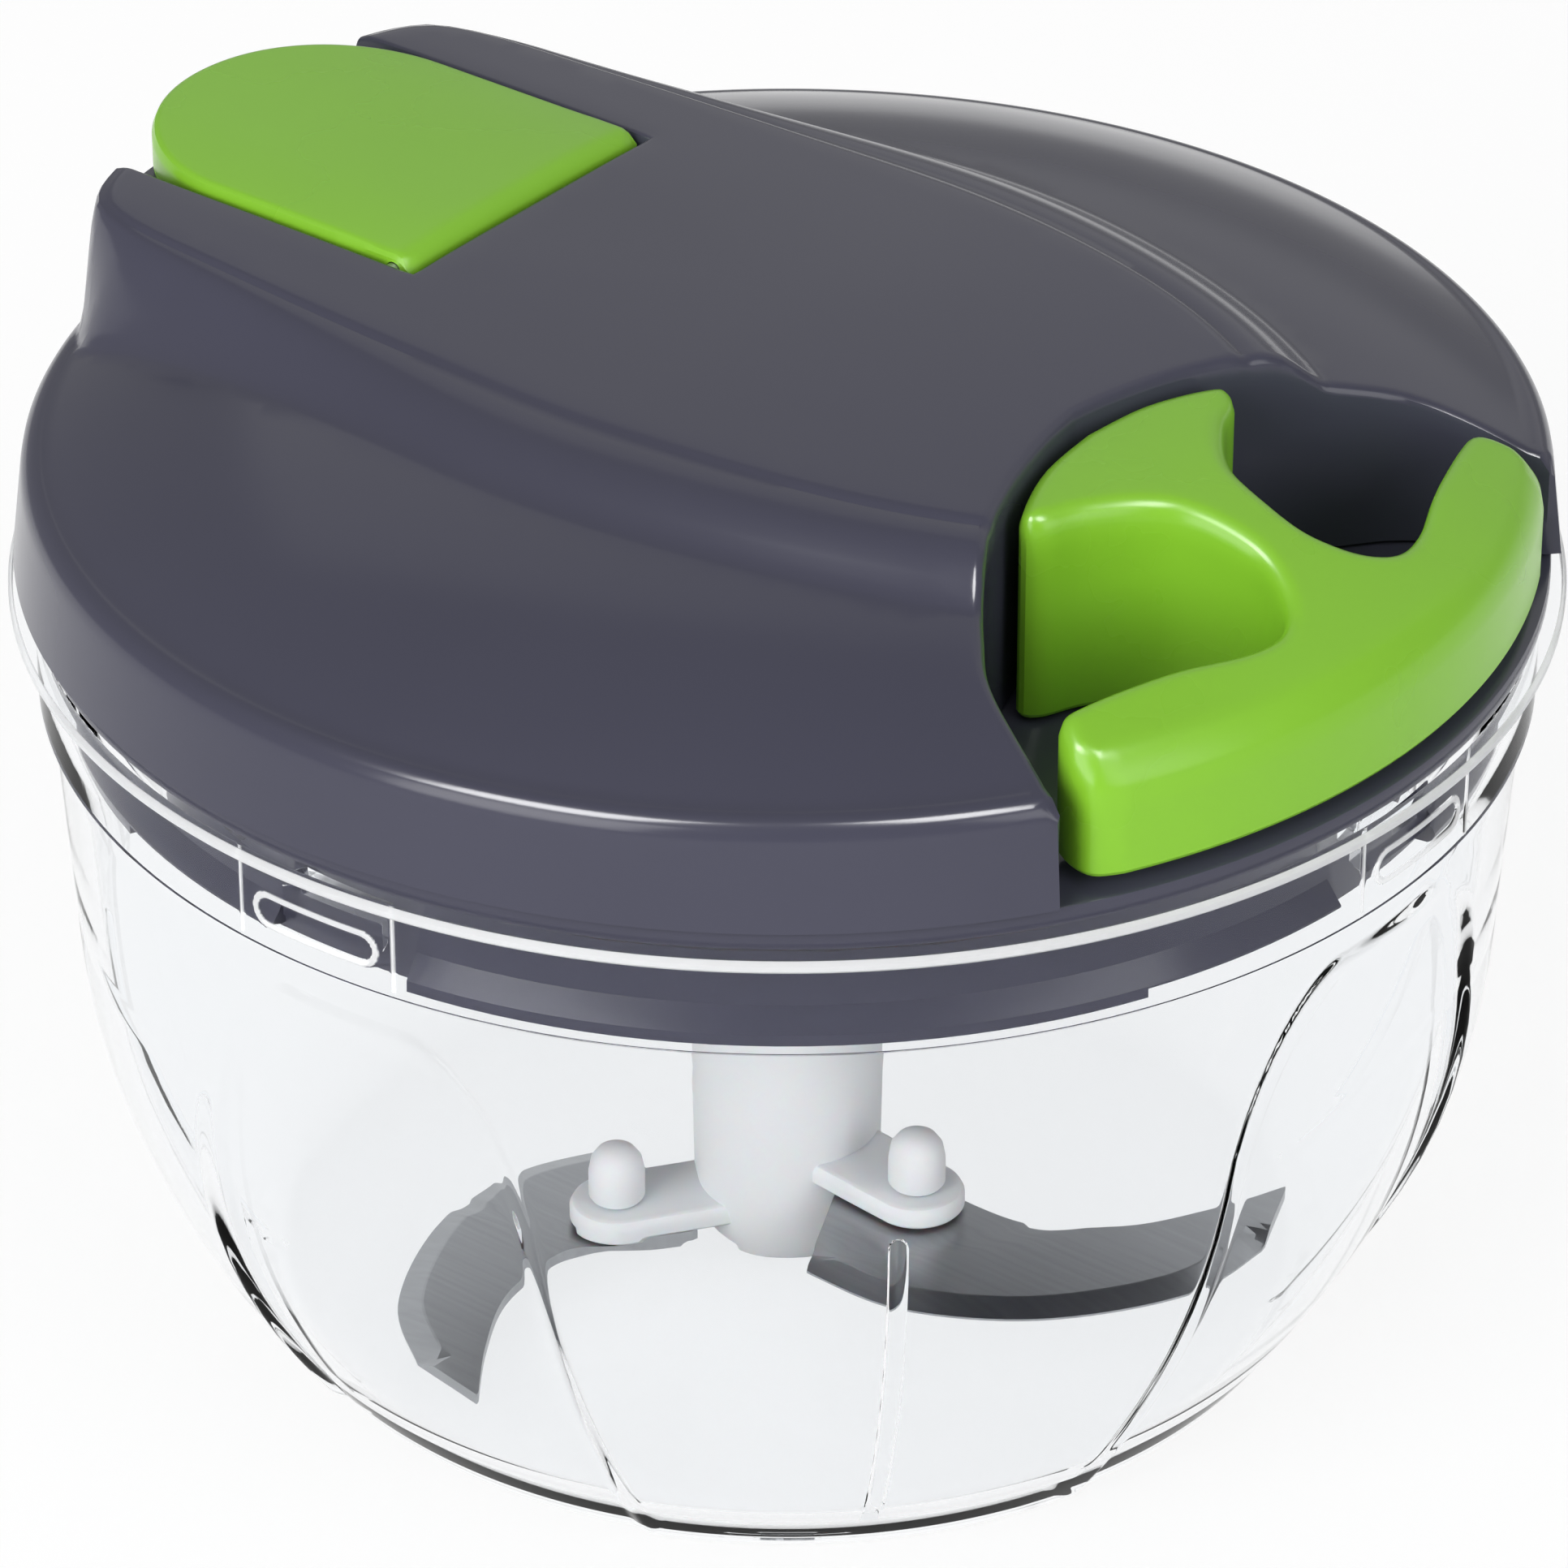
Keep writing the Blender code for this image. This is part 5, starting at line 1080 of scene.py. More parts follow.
def handle_outline():
    """Plan of the grip: a block with an arched back, a neck and a bar along the rim."""
    inner = 56.0 * MM
    tip = math.radians(30.7)
    points = [(HANDLE_BACK, 0.0), (HANDLE_BACK + 0.8 * MM, 6.6 * MM)]
    points += scaled([(33.3, 12.4), (34.7, 14.0), (36.3, 13.0), (37.8, 9.7), (40.7, 5.8), (43.8, 3.8)])
    points += scaled([(49.2, 3.0), (52.6, 4.2), (54.8, 6.2), (55.7, 8.8), (55.0, 12.5), (52.7, 17.8)])
    points += scaled([(51.1, 22.2), (49.7, 26.5)])
    points += [
        polar(inner + MM, tip - math.radians(0.6)),
        polar(inner + 2.6 * MM, tip + math.radians(0.25)),
        polar(BAR_OUTER_RADIUS - 2.4 * MM, tip + math.radians(0.1)),
        polar(BAR_OUTER_RADIUS - 0.6 * MM, tip - math.radians(0.9)),
        polar(BAR_OUTER_RADIUS, tip - math.radians(3.0)),
    ]
    half = spline_through(points, 8) + arc(BAR_OUTER_RADIUS, tip - math.radians(3.2), 0.0, 36)
    return even_outline(half + [(x, -y) for x, y in reversed(half[1:-1])], 0.55 * MM)


def build_handle(settings):
    outline = handle_outline()
    slope = [(20, 0.2), (34, 0.0), (41, -0.75), (47, -2.0), (51, -3.6), (54.8, -5.2), (60, -7.2)]
    radii, drops = np.array(slope + [(66.5, -10.0)]).T * MM
    fine = np.linspace(radii[0], radii[-1], 120)
    reach = 7
    window = np.ones(2 * reach + 1) / (2 * reach + 1)
    soft = np.convolve(np.pad(np.interp(fine, radii, drops), reach, mode="edge"), window, mode="valid")

    def top(flat, distance):
        radius = np.hypot(flat[:, 0], flat[:, 1])
        on_bar = np.clip((radius - 60.5 * MM) / (1.5 * MM), 0.0, 1.0)
        edge = settings.edge_round + (settings.bar_round - settings.edge_round) * on_bar
        return HANDLE_TOP + np.interp(radius, fine, soft) - quarter_round(distance, edge)

    def bottom(flat, distance):
        radius = np.hypot(flat[:, 0], flat[:, 1])
        under_bar = np.clip((radius - 54.8 * MM) / (0.3 * MM), 0.0, 1.0)
        return HANDLE_BOTTOM + 0.8 * MM * under_bar + quarter_round(distance, 0.4 * MM)

    rows = inset_rows(outline, (0.1, 0.25, 0.45, 0.7, 1.0, 1.35, 1.7, 2.2, 3.0))
    handle = height_mesh("Pull_handle", outline, rows, 1.0 * MM, top, bottom, 10)
    x, _, z = KNOT_CENTRE
    combine(handle, cylinder("cord_bore", CORD_BORE, (HANDLE_BACK - 2 * MM, 0, z), (x, 0, z), 24))
    chamber = high("cord_knot").y + 0.5 * MM
    combine(handle, upright(chamber, (x, 0), HANDLE_BOTTOM - MM, z + 2.4 * MM))
    finish_piece(dress(shade(handle, 28.0), finish("lime")), "handle", "lime_plastic", "pull_handle")


def build_flap():
    hinge, barrel, half = FLAP_HINGE, FLAP_BARREL_RADIUS, FLAP_HALF_WIDTH
    corner = 0.4 * MM
    tongue = [(FLAP_FRONT, corner - half), (FLAP_FRONT, half - corner), (FLAP_FRONT - corner, half)]
    tongue += arc(half, QUARTER, 3 * QUARTER, 60, (FLAP_TIP_CENTRE, 0.0))
    tongue.append((FLAP_FRONT - corner, -half))
    outline = even_outline(tongue, 0.7 * MM)

    def barrel_rise(x):
        return np.sqrt(np.clip(barrel**2 - (x - hinge.x) ** 2, (0.3 * MM) ** 2, None))

    def top(flat, distance):
        x, y = flat[:, 0], flat[:, 1]
        over = np.where(x > hinge.x, hinge.z + barrel_rise(x), FLAP_TOP)
        crown = 0.55 * MM * np.abs(y / half) ** 3
        side = np.where(x > hinge.x, np.minimum(half - np.abs(y), 9.0), distance)
        strength = np.clip((FLAP_FRONT - x) / (8.0 * MM), 0.6, 1.0)
        return over - crown - quarter_round(side, 0.8 * MM) * strength

    def bottom(flat, distance):
        x = flat[:, 0]
        share = np.clip((x - hinge.x + MM) / MM, 0.0, 1.0)
        tongue_bottom = FLAP_BOTTOM + (hinge.z - barrel - FLAP_BOTTOM) * share
        under = np.where(x <= hinge.x, tongue_bottom, hinge.z - barrel_rise(x))
        return under + quarter_round(distance, 0.4 * MM) * (x <= hinge.x)

    rows = inset_rows(outline, (0.1, 0.25, 0.45, 0.7, 1.0, 1.35, 1.7, 2.2))
    flap = height_mesh("Filler_flap", outline, rows, 1.2 * MM, top, bottom, 5)
    reach = half + 2 * MM
    combine(flap, cylinder("pin_hole", PIN_BORE, (hinge.x, -reach, hinge.z), (hinge.x, reach, hinge.z), 24))
    finish_piece(dress(shade(flap, 28.0), finish("lime")), "flap", "lime_plastic", "filler_flap")
    ends = [(hinge.x, edge.y, hinge.z) for edge in (low("flap_hinge_pin"), high("flap_hinge_pin"))]
    pin = cylinder("Flap_hinge_pin", PIN_BORE - 0.1 * MM, *ends, 24)
    finish_piece(dress(pin, finish("steel")), "lid", "steel", "flap_hinge_pin")


# Rotor

ARM_HALF_WIDTH = 4.2 * MM
ARM_THICKNESS = 2.0 * MM
PEG_BORE = 1.7 * MM
PEG_HEAD = 5.2 * MM
PEG_FOOT = 0.7 * MM
DOG_FREE_PLAY = math.radians(22.0)


def turned_by(around, points):
    cos, sin = math.cos(around), math.sin(around)
    return [(x * cos - y * sin, x * sin + y * cos) for x, y in points]


def dog_socket():
    """The two-winged space in the hub's top for the drive dog, with its free play."""
    half = math.radians(18.0)
    outline = []
    for k in range(2):
        end = k * math.pi + half + math.radians(4.0)
        outline += arc(5.9 * MM, k * math.pi - half - DOG_FREE_PLAY, end, 24)
        outline += arc(3.9 * MM, end, (k + 1) * math.pi - half - DOG_FREE_PLAY, 16)
    return prism("socket", outline, low("drive_dog").z - 2.2 * MM, HUB_TOP + 2 * MM)


def build_hub():
    """The hub, a tapered tube on the pin, with its three arms joined on."""
    top, bottom = HUB_TOP / MM, HUB_BOTTOM / MM
    pin_top = (high("bowl_pin").z + GAP) / MM
    outer = [(7.9, top), (8.3, top - 0.3), (8.5, top - 1.0), (8.5, top - 6.0), (8.5, 34.0), (8.4, 20.0)]
    outer += [(8.2, 9.0), (7.6, bottom + 2.6), (7.2, bottom + 0.6), (6.7, bottom)]
    bore = [(4.7, bottom), (4.7, 6.5), (2.3, 6.5), (2.3, pin_top), (0.0, pin_top)]
    hub = turned("Rotor_hub", [(0.0, HUB_TOP)] + scaled(outer + bore))
    for name, around in zip(BLADES, ARM_ANGLES):
        top = high("blade_" + name).z + GAP + ARM_THICKNESS
        end = arc(ARM_HALF_WIDTH, -QUARTER, QUARTER, 28, (PEG_CIRCLE, 0.0))
        plan = [(4.9 * MM, -ARM_HALF_WIDTH)] + end + [(4.9 * MM, ARM_HALF_WIDTH)]
        outline = even_outline(turned_by(around, plan), 0.5 * MM)
        arm = height_mesh(
            "arm",
            outline,
            inset_rows(outline, (0.1, 0.25, 0.45, 0.7)),
            1.0 * MM,
            lambda flat, distance: top - quarter_round(distance, 0.6 * MM),
            lambda flat, distance: top - ARM_THICKNESS + quarter_round(distance, 0.3 * MM),
            2,
        )
        combine(hub, arm, operation="UNION")
        combine(hub, upright(PEG_BORE, polar(PEG_CIRCLE, around), top - 4 * MM, top + 2 * MM, 24))
    combine(hub, dog_socket())
    finish_piece(dress(shade(hub, 32.0), finish("milky")), "rotor", "milky_plastic", "rotor_hub")


def blade_lines(reach):
    """The plan of a sickle blade with its root under the arm, and its cutting edge."""
    root, half = 9.2, 3.6
    edge = [(15.0, -13.2), (24.5, -11.6), (34.2, -4.4), (40.8, 7.0), (41.2, 16.8)]
    back = [(37.2, 24.5), (34.7, 17.2), (31.0, 10.0), (25.5, 5.2)]
    outer = scaled(spline_through(scaled(edge, reach), 16))
    inner = scaled(spline_through(scaled(back, reach) + [(19.0, half), (root, half)], 16))
    return [(root * MM, -half * MM)] + outer + inner, outer


def build_blades(settings):
    for name, around in zip(BLADES, ARM_ANGLES):
        top_z, bottom_z = high("blade_" + name).z, low("blade_" + name).z
        plan, edge = blade_lines(40.5 / 44.5 if name == "low" else 1.0)
        outline = even_outline(turned_by(around, plan), 0.7 * MM)
        cutting = np.array(turned_by(around, edge))
        thin = 0.8 * (top_z - bottom_z)

        def top(flat, distance):
            ground = np.clip(line_distance(flat, cutting) / settings.grind, 0.0, 1.0)
            return top_z - thin * (1.0 - ground)

        def bottom(flat, distance):
            return np.full(len(flat), bottom_z)

        rows = inset_rows(outline, (0.15, 1.0, 2.1, 2.3))
        blade = height_mesh("Blade_" + name, outline, rows, 1.4 * MM, top, bottom, 2)
        combine(blade, upright(PEG_BORE, polar(PEG_CIRCLE, around), bottom_z - MM, top_z + MM, 24))
        finish_piece(dress(shade(blade, 8.0), finish("steel")), "rotor", "steel", "blade_" + name)


# Swept and repeated pieces


def new_tree(name, sizes):
    """A geometry tree with a geometry input and output and named sizes."""
    tree = bpy.data.node_groups.new(name, "GeometryNodeTree")
    for direction in ("INPUT", "OUTPUT"):
        tree.interface.new_socket("Geometry", in_out=direction, socket_type="NodeSocketGeometry")
    for label, kind in sizes.items():
        tree.interface.new_socket(label, in_out="INPUT", socket_type="NodeSocket" + kind)
    return tree, tree.nodes.new("NodeGroupInput").outputs


def close_tree(tree, geometry, material):
    """Makes the geometry real, gives it its material and ends the tree with it."""
    real = add_node(tree, "GeometryNodeRealizeInstances", {"Geometry": geometry})
    inputs = {"Geometry": real.outputs["Geometry"], "Material": material}
    dressed = add_node(tree, "GeometryNodeSetMaterial", inputs)
    add_node(tree, "NodeGroupOutput", {"Geometry": dressed.outputs["Geometry"]})
    return tree


def run_tree(obj, tree, values):
    """Runs a tree on an object with its inputs set by identifier, and keeps the plain mesh."""
    modifier = obj.modifiers.new(tree.name, "NODES")
    modifier.node_group = tree
    names = {item.name: item.identifier for item in tree.interface.items_tree if item.in_out == "INPUT"}
    for name, value in values.items():
        modifier[names[name]] = value
    mesh = evaluated_mesh(obj)
    name = obj.name
    bpy.data.objects.remove(obj)
    return add_object(name, mesh)


def path_tree(name, strip):
    """A tube or a flat strip along a path of edges."""
    tree, given = new_tree(name, {"Width": "Float", "Height": "Float", "Finish": "Material"})
    path = add_node(tree, "GeometryNodeMeshToCurve", {"Mesh": given["Geometry"]})
    if strip:
        sides = {"Width": given["Width"], "Height": given["Height"]}
        profile = add_node(tree, "GeometryNodeCurvePrimitiveQuadrilateral", sides)
    else:
        circle = {"Resolution": 14, "Radius": math_node(tree, "DIVIDE", given["Width"], 2.0)}
        profile = add_node(tree, "GeometryNodeCurvePrimitiveCircle", circle)
    curves = {"Curve": path.outputs["Curve"], "Profile Curve": profile.outputs["Curve"], "Fill Caps": True}
    swept = add_node(tree, "GeometryNodeCurveToMesh", curves)
    return close_tree(tree, swept.outputs["Mesh"], given["Finish"])


def copies_tree():
    """Copies of one piece on the points that come in."""
    tree, given = new_tree("Copies_on_points", {"Piece": "Object", "Finish": "Material"})
    piece = add_node(tree, "GeometryNodeObjectInfo", {"Object": given["Piece"]})
    inputs = {"Points": given["Geometry"], "Instance": piece.outputs["Geometry"]}
    placed = add_node(tree, "GeometryNodeInstanceOnPoints", inputs)
    return close_tree(tree, placed.outputs["Instances"], given["Finish"])


def points_object(name, points, edges=()):
    mesh = bpy.data.meshes.new(name)
    mesh.from_pydata([tuple(p) for p in points], edges, [])
    return add_object(name, mesh)


def sweep(name, points, width, kind="cord", height=0.0, strip=False):
    path = points_object(name, points, [(i, i + 1) for i in range(len(points) - 1)])
    values = {"Width": width, "Height": height, "Finish": finish(kind)}
    piece = run_tree(path, path_tree(name + "_path", strip), values)
    bm = bmesh.new()
    bm.from_mesh(piece.data)
    bmesh.ops.remove_doubles(bm, verts=bm.verts, dist=1e-7)
    bmesh.ops.recalc_face_normals(bm, faces=bm.faces)
    bm.to_mesh(piece.data)
    bm.free()
    return shade(piece, 50.0)


def copies(name, blank, places, kind):
    """One mesh of a blank piece at each of the places."""
    piece = run_tree(points_object(name, places), copies_tree(), {"Piece": blank, "Finish": finish(kind)})
    bpy.data.objects.remove(blank)
    return shade(piece, 35.0)


# Cord and spring

CORD_TURNS = 6
CORD_PITCH = 1.85 * MM
TURN_STEPS = 48
EYELET_X = POCKET_BACK - COVER_WALL - MM


def build_cord():
    """The cord wound on the spool, its run to the eyelet, the run to the knot, and the knot."""
    leave = -math.acos(WINDING_RADIUS / EYELET_X)
    bottom = (low("cord_winding").z + high("cord_winding").z) / 2 - CORD_TURNS * CORD_PITCH / 2
    points = []
    for i in range(CORD_TURNS * TURN_STEPS + 1):
        around = polar(WINDING_RADIUS, leave - TURN * i / TURN_STEPS)
        points.append((*around, bottom + CORD_PITCH * i / TURN_STEPS))
    finish_piece(sweep("Cord_winding", points, CORD_DIAMETER), "spool", "cord", "cord_winding")
    tangent = Vector(points[0])
    corner = Vector((EYELET_X, 0.0, CORD_EXIT.z))
    run = corner - tangent
    clear = WINDING_RADIUS + CORD_DIAMETER + GAP
    first = tangent + run * ((math.sqrt(clear**2 - WINDING_RADIUS**2) + GAP) / run.xy.length)
    lead = [first.lerp(corner, i / 12) for i in range(12)]
    lead += [corner + Vector((0.5 * MM, 0, 0)), Vector((POCKET_BACK - GAP, 0, CORD_EXIT.z))]
    finish_piece(sweep("Cord_lead", lead, CORD_DIAMETER), "lid", "cord", "cord_lead")
    start, end = low("cord_run").x, high("cord_run").x
    points = [(start + (end - start) * i / 16, 0.0, CORD_EXIT.z) for i in range(17)]
    stretch = sweep("Cord_run", points, CORD_DIAMETER)
    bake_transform(stretch)
    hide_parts("cord_run")
    finish_piece(build_knot(), "handle", "cord", "cord_knot")


def build_knot():
    """A single overhand knot drawn tight, inside the ball of space that the handle gives it."""
    tube_radius = CORD_DIAMETER * 0.42
    ring = (high("cord_knot").y - KNOT_CENTRE.y - tube_radius) / 3.0
    points = []
    for t in (TURN * i / 96 for i in range(95)):
        x = KNOT_CENTRE.x + ring * 0.9 * math.sin(3 * t)
        y = KNOT_CENTRE.y + ring * (math.sin(t) + 2 * math.sin(2 * t)) * 0.95
        z = KNOT_CENTRE.z + ring * (math.cos(t) - 2 * math.cos(2 * t)) * 0.95
        points.append((x, y, z))
    return sweep("Cord_knot", points, 2 * tube_radius)


def build_spring():
    """The flat spiral spring that winds the cord back."""
    box_low, box_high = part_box("rewind_spring")
    middle = (box_low.z + box_high.z) / 2
    inner, outer = 2.5 * MM, 10.3 * MM
    turns, steps = 6, 40
    points = []
    for i in range(turns * steps + 1):
        radius = inner + (outer - inner) * (i / (turns * steps))
        points.append((*polar(radius, TURN * i / steps), middle))
    spring = sweep("Rewind_spring", points, 0.4 * MM, "steel", box_high.z - box_low.z, True)
    finish_piece(spring, "lid", "steel", "rewind_spring")


# Screws, pegs and carried pieces

# Name, body, nodes, shank radius and head height in millimetres, and whether the head is up
SCREWS = (
    ("Cover_screws", "lid", [f"cover_screw_{k}" for k in (1, 2, 3, 4)], 1.2, 1.2, False),
    ("Spring_cap_screws", "lid", [f"spring_cap_screw_{k}" for k in (1, 2, 3)], 0.9, 0.6, True),
    ("Dog_screw", "spool", ["dog_screw"], 1.0, 1.0, False),
)
HEAD_ANGLES = (0.35, 0.7, 1.05, 1.35, QUARTER)


def screw_blank(node, shank, head_height, head_up):
    """One round-headed screw with a cross in its head, at the origin with its head's flat face at 0."""
    box_low, box_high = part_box(node)
    head = (box_high.x - box_low.x) / 2
    length = box_high.z - box_low.z - head_height
    profile = [(0.0, head_height)]
    profile += [(head * math.sin(a), head_height * (0.35 + 0.65 * math.cos(a))) for a in HEAD_ANGLES]
    profile += [(head, 0.0), (shank, 0.0)]
    threads = int(length / (0.5 * MM))
    for k in range(threads):
        z = -length * (k + 0.2) / threads
        profile += [(shank * 0.82, z), (shank, z - length * 0.4 / threads)]
    profile += [(shank * 0.5, -length), (0.0, -length)]
    blank = turned("screw_blank", profile, 24)
    arm, half = head * 0.62, head * 0.13
    floor = head_height - head_height * 0.55
    cross = [
        prism("cross", [(-x, -y), (x, -y), (x, y), (-x, y)], floor, head_height + MM)
        for x, y in ((arm, half), (half, arm))
    ]
    combine(blank, *cross)
    if not head_up:
        blank.data.transform(Matrix.Rotation(math.pi, 4, "X"))
    return blank


def build_screws():
    for name, body, nodes, shank, head_height, head_up in SCREWS:
        blank = screw_blank(nodes[0], shank * MM, head_height * MM, head_up)
        lowest = min(v.co.z for v in blank.data.vertices)
        places = []
        for node in nodes:
            centre = (low(node) + high(node)) / 2
            places.append((centre.x, centre.y, low(node).z - lowest))
        finish_piece(copies(name, blank, places, "steel"), body, "steel", *nodes)


def build_pegs():
    """The pegs that hold the blades: three alike, with rounded heads above the arms."""
    nodes = ["blade_peg_" + name for name in BLADES]
    height = (high(nodes[0]).z - low(nodes[0]).z) / MM
    seat, foot = height - PEG_HEAD / MM, PEG_FOOT / MM
    profile = [(0.0, height), (0.9, height - 0.06), (1.7, height - 0.5), (2.25, height - 1.3)]
    profile += [(2.5, height - 2.6), (2.5, seat + 0.3), (2.3, seat), (1.4, seat), (1.4, foot), (2.3, foot)]
    blank = turned("peg_blank", scaled(profile + [(2.3, 0.2), (2.1, 0.0), (0.0, 0.0)]), 40)
    centres = [(low(node) + high(node)) / 2 for node in nodes]
    places = [(centre.x, centre.y, low(node).z) for node, centre in zip(nodes, centres)]
    finish_piece(copies("Blade_pegs", blank, places, "milky"), "rotor", "milky_plastic", *nodes)


# Small pieces that keep the model's own shape
CARRIED = {
    "bowl_pin": "steel",
    "lid_seal": "seal",
    "filler_chute": "slate",
    "spring_cap": "slate",
    "shaft_bush": "nylon",
    "cord_eyelet": "nylon",
    "flap_plug": "silicone",
    "spool": "nylon",
    "drive_dog": "nylon",
    "handle_plug": "lime",
}


def dress_carried_nodes():
    for node, kind in CARRIED.items():
        dress(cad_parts[node], finish(kind))


# Stage

PHOTO_SIDE = 1932
PAPER_WHITE = 0.84
PAPER_SHADOW = 0.2
WHITE = (1.0, 1.0, 1.0, 1.0)
AIM = Vector((0.0, 0.0, 47.4 * MM))
LIT_POINT = (0.0, 0.0, 50 * MM)
LAMP_PLACE = (1.3, 0.6)

# Name, turn beside the camera in degrees, distance, height, width, height of the pane and share of the power
WINDOWS = (
    ("Left_window", -46, 0.67, 1.08, 0.55, 0.42, 1.0),
    ("Right_window", 34, 0.62, 1.08, 0.32, 0.42, 0.58),
    ("Back_window", 155, 0.75, 0.62, 1.5, 0.8, 0.06),
)


def seen_directly(tree, kinds):
    """1 for the camera's rays and these kinds of ray before they meet a matt face, 0 for all others."""
    path = add_node(tree, "ShaderNodeLightPath")
    seen = path.outputs["Is Camera Ray"]
    for kind in kinds:
        seen = math_node(tree, "ADD", seen, path.outputs[f"Is {kind} Ray"], clamp=True)
    before_matt = math_node(tree, "LESS_THAN", path.outputs["Diffuse Depth"], 0.5)
    return math_node(tree, "MULTIPLY", seen, before_matt)


def background_material():
    """White paper: evenly white where it is seen, also through the bowl, with the object's faint shadow."""
    material = new_material("White paper", Roughness=0.9, Specular_IOR_Level=0.0, Emission_Color=WHITE)
    tree = material.node_tree
    seen = seen_directly(tree, ("Glossy", "Transmission"))
    glow = math_node(tree, "MULTIPLY", seen, 1.0 - PAPER_SHADOW * 0.75)
    paper = map_range(tree, seen, target=(PAPER_WHITE, PAPER_SHADOW))
    feed(material, {"Base Color": paper, "Emission Strength": glow})
    return material


def build_world(strength):
    """Even light all round, and plain white where the camera sees it, also through the bowl."""
    world = bpy.data.worlds.new("Studio")
    world.use_nodes = True
    bpy.context.scene.world = world
    tree = world.node_tree
    level = map_range(tree, seen_directly(tree, ("Transmission",)), target=(strength, 1.0))
    connect(tree, tree.nodes["Background"], {"Color": WHITE, "Strength": level})


def place_in_scene(name, data, place, toward):
    """Adds a lamp or a camera that looks along a direction."""
    obj = bpy.data.objects.new(name, data)
    bpy.context.scene.collection.objects.link(obj)
    obj.location = place
    obj.rotation_euler = toward.to_track_quat("-Z", "Y").to_euler()
    return obj


def soft_light(name, place, size, power):
    lamp = bpy.data.lights.new(name, "AREA")
    lamp.shape = "RECTANGLE"
    lamp.size, lamp.size_y = size
    lamp.energy = power
    return place_in_scene(name, lamp, place, Vector(LIT_POINT) - Vector(place))


def build_stage(settings):
    scene = bpy.context.scene
    scene.view_settings.view_transform = "Standard"
    build_world(settings.world_strength)

    bm = bmesh.new()
    bmesh.ops.create_circle(bm, cap_ends=True, segments=96, radius=3.0)
    floor = add_object("Floor", mesh_from(bm, "Floor"), background_material())
    floor.location.z = -0.02 * MM

    camera = bpy.data.cameras.new("Camera")
    camera.sensor_width = 36.0
    camera.lens = settings.lens
    camera.shift_x = -4 / PHOTO_SIDE
    camera.clip_end = 20.0
    around, up = settings.azimuth, settings.elevation
    away = Vector((math.sin(around) * math.cos(up), -math.cos(around) * math.cos(up), math.sin(up)))
    scene.camera = place_in_scene("Camera", camera, AIM + away * settings.distance, -away)

    def beside(turn, distance, height):
        return (*polar(distance, around - QUARTER + math.radians(turn)), height)

    soft_light("Key", beside(-38, *LAMP_PLACE), (0.9, 0.9), settings.key_power)
    soft_light("Fill", beside(45, *LAMP_PLACE), (0.8, 0.8), settings.fill_power)
    for name, turn, distance, height, width, tall, share in WINDOWS:
        place = beside(turn, distance, height)
        window = soft_light(name, place, (width, tall), settings.window_power * share)
        window.visible_diffuse = False
        window.visible_transmission = False


# Operators and panel


class CHOPPER_OT_bowl(bpy.types.Operator):
    """Builds the clear bowl."""

    bl_idname = "chopper.bowl"
    bl_label = "Bowl"

    def execute(self, context):
        build_bowl(context.scene.chopper_bowl)
        return {"FINISHED"}


class CHOPPER_OT_rotor(bpy.types.Operator):
    """Builds the hub with its arms, the pegs and the three blades."""

    bl_idname = "chopper.rotor"
    bl_label = "Rotor and blades"

    def execute(self, context):
        build_hub()
        build_blades(context.scene.chopper_rotor)
        build_pegs()
        return {"FINISHED"}


class CHOPPER_OT_lid(bpy.types.Operator):
    """Builds the lid's cover and its base."""

    bl_idname = "chopper.lid"
    bl_label = "Lid"

    def execute(self, context):
        build_cover(context.scene.chopper_lid)
        build_base()
        return {"FINISHED"}


class CHOPPER_OT_grip(bpy.types.Operator):
    """Builds the pull handle and the filler flap."""

    bl_idname = "chopper.grip"
    bl_label = "Handle and flap"

    def execute(self, context):
        build_handle(context.scene.chopper_grip)
        build_flap()
        return {"FINISHED"}


class CHOPPER_OT_drive(bpy.types.Operator):
    """Builds the cord, its knot and the rewind spring."""

    bl_idname = "chopper.drive"
    bl_label = "Cord and spring"

    def execute(self, context):
        build_cord()
        build_spring()
        return {"FINISHED"}


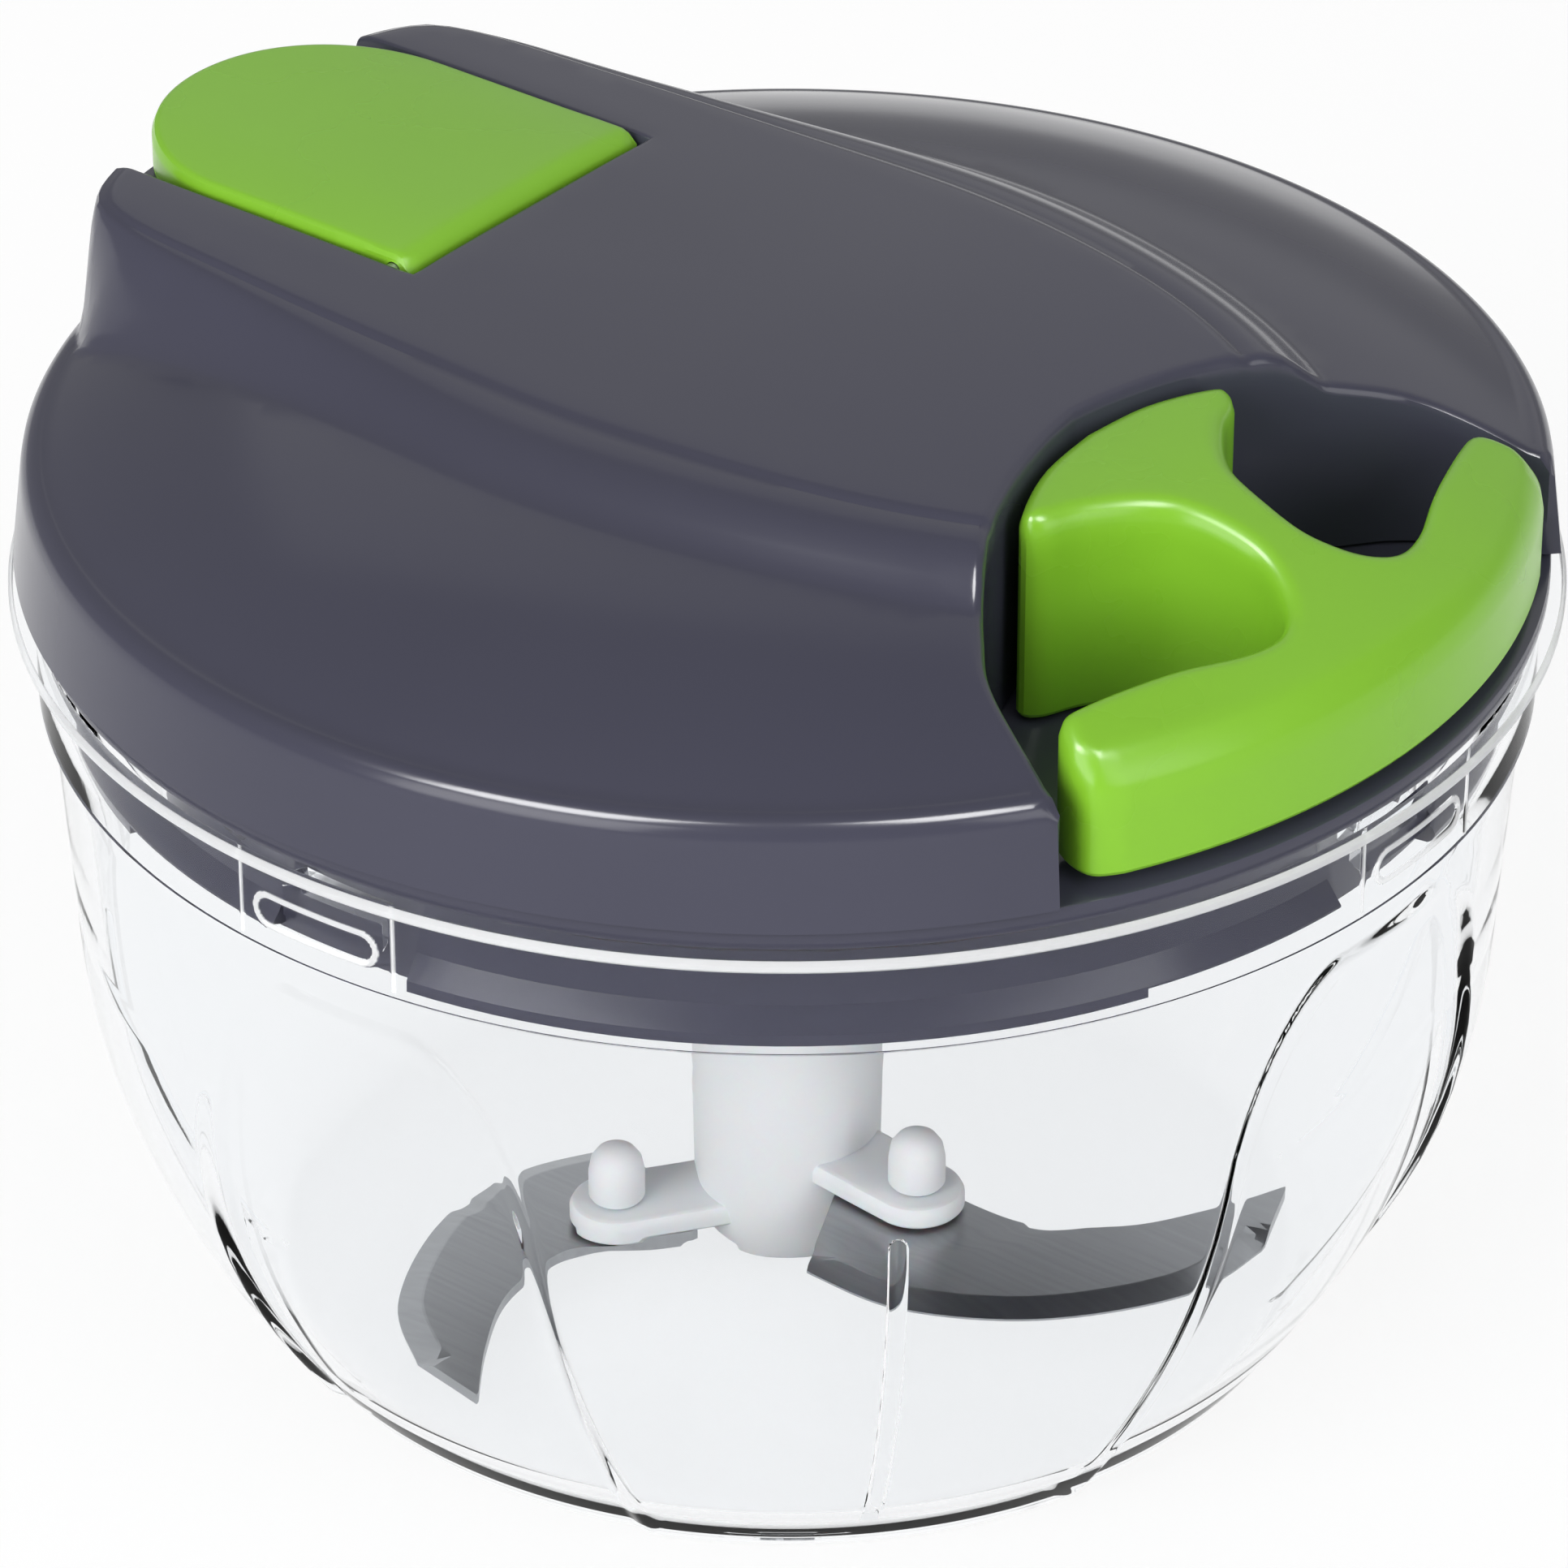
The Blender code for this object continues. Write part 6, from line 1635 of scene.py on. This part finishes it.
class CHOPPER_OT_fittings(bpy.types.Operator):
    """Builds the screws and dresses the small pieces that keep the model's shape."""

    bl_idname = "chopper.fittings"
    bl_label = "Screws and small pieces"

    def execute(self, context):
        build_screws()
        dress_carried_nodes()
        return {"FINISHED"}


class CHOPPER_OT_stage(bpy.types.Operator):
    """Sets up the floor, the lights and the camera."""

    bl_idname = "chopper.stage"
    bl_label = "Stage"

    def execute(self, context):
        build_stage(context.scene.chopper_stage)
        return {"FINISHED"}


OPERATORS = (
    CHOPPER_OT_stage,
    CHOPPER_OT_bowl,
    CHOPPER_OT_rotor,
    CHOPPER_OT_lid,
    CHOPPER_OT_grip,
    CHOPPER_OT_drive,
    CHOPPER_OT_fittings,
)
SETTINGS = {
    "chopper_bowl": ChopperBowlSettings,
    "chopper_rotor": ChopperRotorSettings,
    "chopper_lid": ChopperLidSettings,
    "chopper_grip": ChopperGripSettings,
    "chopper_stage": ChopperStageSettings,
}


class CHOPPER_PT_panel(bpy.types.Panel):
    """Lists the steps and the sizes of the chopper."""

    bl_idname = "CHOPPER_PT_panel"
    bl_label = "Pull-string Chopper"
    bl_space_type = "VIEW_3D"
    bl_region_type = "UI"
    bl_category = "Chopper"

    def draw(self, context):
        for name, settings in SETTINGS.items():
            group = getattr(context.scene, name)
            for key in settings.__annotations__:
                self.layout.prop(group, key)
        for step in OPERATORS:
            self.layout.operator(step.bl_idname)


def register():
    for name, settings in SETTINGS.items():
        bpy.utils.register_class(settings)
        setattr(bpy.types.Scene, name, bpy.props.PointerProperty(type=settings))
    for step in OPERATORS:
        bpy.utils.register_class(step)
    bpy.utils.register_class(CHOPPER_PT_panel)


def unregister():
    bpy.utils.unregister_class(CHOPPER_PT_panel)
    for step in reversed(OPERATORS):
        bpy.utils.unregister_class(step)
    for name, settings in SETTINGS.items():
        delattr(bpy.types.Scene, name)
        bpy.utils.unregister_class(settings)


def main():
    register()
    bpy.ops.chopper.stage()
    bpy.ops.chopper.bowl()
    bpy.ops.chopper.rotor()
    bpy.ops.chopper.lid()
    bpy.ops.chopper.grip()
    bpy.ops.chopper.drive()
    bpy.ops.chopper.fittings()


if __name__ == "__main__":
    main()
